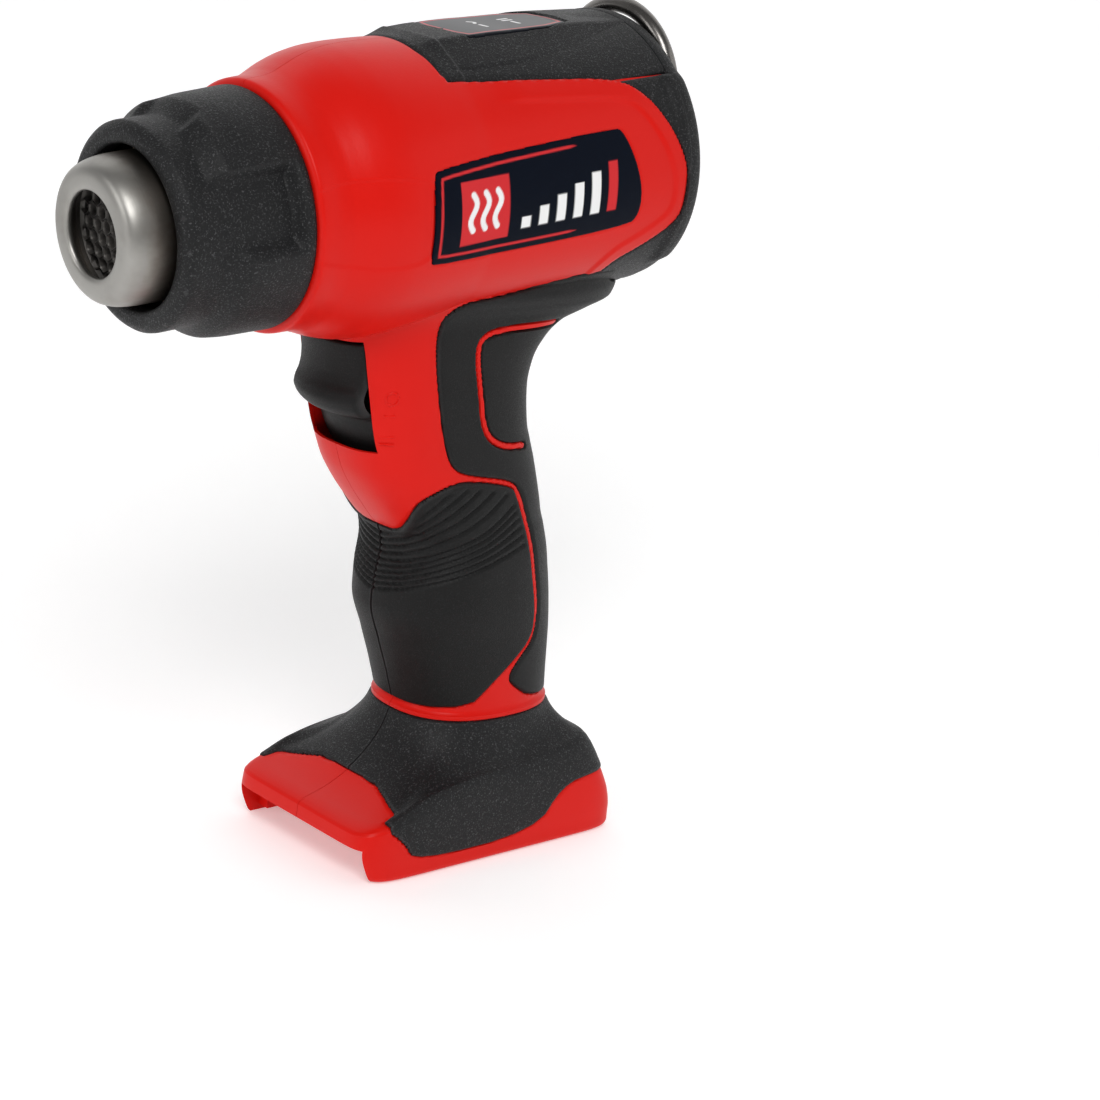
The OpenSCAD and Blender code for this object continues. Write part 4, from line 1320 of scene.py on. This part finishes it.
class HEATGUN_OT_collar(bpy.types.Operator):
    """Builds the collar round the nozzle."""

    bl_idname = "heatgun.collar"
    bl_label = "Heat Collar"
    bl_options = {"REGISTER", "UNDO"}

    def execute(self, context):
        build_collar()
        return {"FINISHED"}


class HEATGUN_OT_nozzle(bpy.types.Operator):
    """Builds the steel nozzle and its grid."""

    bl_idname = "heatgun.nozzle"
    bl_label = "Nozzle"
    bl_options = {"REGISTER", "UNDO"}

    def execute(self, context):
        build_nozzle()
        return {"FINISHED"}


class HEATGUN_OT_cover(bpy.types.Operator):
    """Builds the cover and its status plate."""

    bl_idname = "heatgun.cover"
    bl_label = "Upper Cover"
    bl_options = {"REGISTER", "UNDO"}

    def execute(self, context):
        build_cover()
        return {"FINISHED"}


class HEATGUN_OT_rear(bpy.types.Operator):
    """Builds the rear band, the slotted face and the lugs."""

    bl_idname = "heatgun.rear"
    bl_label = "Rear Cap"
    bl_options = {"REGISTER", "UNDO"}

    def execute(self, context):
        build_rear()
        return {"FINISHED"}


class HEATGUN_OT_ring(bpy.types.Operator):
    """Builds the folding ring."""

    bl_idname = "heatgun.ring"
    bl_label = "Hanging Ring"
    bl_options = {"REGISTER", "UNDO"}

    def execute(self, context):
        build_ring()
        return {"FINISHED"}


class HEATGUN_OT_switch(bpy.types.Operator):
    """Builds the slide switch."""

    bl_idname = "heatgun.switch"
    bl_label = "Slide Switch"
    bl_options = {"REGISTER", "UNDO"}

    def execute(self, context):
        build_switch()
        return {"FINISHED"}


class HEATGUN_OT_marks(bpy.types.Operator):
    """Builds the raised marks beside the switch."""

    bl_idname = "heatgun.marks"
    bl_label = "Switch Marks"
    bl_options = {"REGISTER", "UNDO"}

    def execute(self, context):
        build_marks()
        return {"FINISHED"}


class HEATGUN_OT_grips(bpy.types.Operator):
    """Builds the rubber skins of the handle."""

    bl_idname = "heatgun.grips"
    bl_label = "Grips"
    bl_options = {"REGISTER", "UNDO"}

    def execute(self, context):
        build_grips()
        return {"FINISHED"}


class HEATGUN_OT_foot(bpy.types.Operator):
    """Builds the black patches of the foot."""

    bl_idname = "heatgun.foot"
    bl_label = "Foot Patches"
    bl_options = {"REGISTER", "UNDO"}

    def execute(self, context):
        build_foot()
        return {"FINISHED"}


class HEATGUN_OT_labels(bpy.types.Operator):
    """Builds the printed films on the sides."""

    bl_idname = "heatgun.labels"
    bl_label = "Side Labels"
    bl_options = {"REGISTER", "UNDO"}

    def execute(self, context):
        build_labels()
        return {"FINISHED"}


class HEATGUN_OT_inside(bpy.types.Operator):
    """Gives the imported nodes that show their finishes."""

    bl_idname = "heatgun.inside"
    bl_label = "Inner Parts"
    bl_options = {"REGISTER", "UNDO"}

    def execute(self, context):
        build_inside()
        return {"FINISHED"}


PIECES = [HEATGUN_OT_stage, HEATGUN_OT_housing, HEATGUN_OT_collar, HEATGUN_OT_nozzle,
    HEATGUN_OT_cover, HEATGUN_OT_rear, HEATGUN_OT_ring, HEATGUN_OT_switch, HEATGUN_OT_marks,
    HEATGUN_OT_grips, HEATGUN_OT_foot, HEATGUN_OT_labels, HEATGUN_OT_inside]


class HEATGUN_PT_looks(bpy.types.Panel):
    """Sidebar panel with the settings and one button to each piece."""

    bl_label = "Heat Gun"
    bl_idname = "HEATGUN_PT_looks"
    bl_space_type = "VIEW_3D"
    bl_region_type = "UI"
    bl_category = "Heat Gun"

    def draw(self, context):
        settings = context.scene.heat_gun_looks
        for key in HeatGunLooks.__annotations__:
            self.layout.prop(settings, key)
        for piece in PIECES:
            self.layout.operator(piece.bl_idname)


CLASSES = [HeatGunLooks, *PIECES, HEATGUN_PT_looks]


def register():
    """Registers the classes and the scene's settings."""
    for item in CLASSES:
        bpy.utils.register_class(item)
    bpy.types.Scene.heat_gun_looks = PointerProperty(type=HeatGunLooks)


def unregister():
    """Takes the settings and the classes away again."""
    del bpy.types.Scene.heat_gun_looks
    for item in reversed(CLASSES):
        bpy.utils.unregister_class(item)


def main():
    """Builds every piece in order."""
    register()
    for item in list(bpy.data.objects):
        if item.name in ("Cube", "Light", "Camera"):
            bpy.data.objects.remove(item)
    for piece in PIECES:
        getattr(bpy.ops.heatgun, piece.bl_idname.split(".")[1])()


if __name__ == "__main__":
    main()
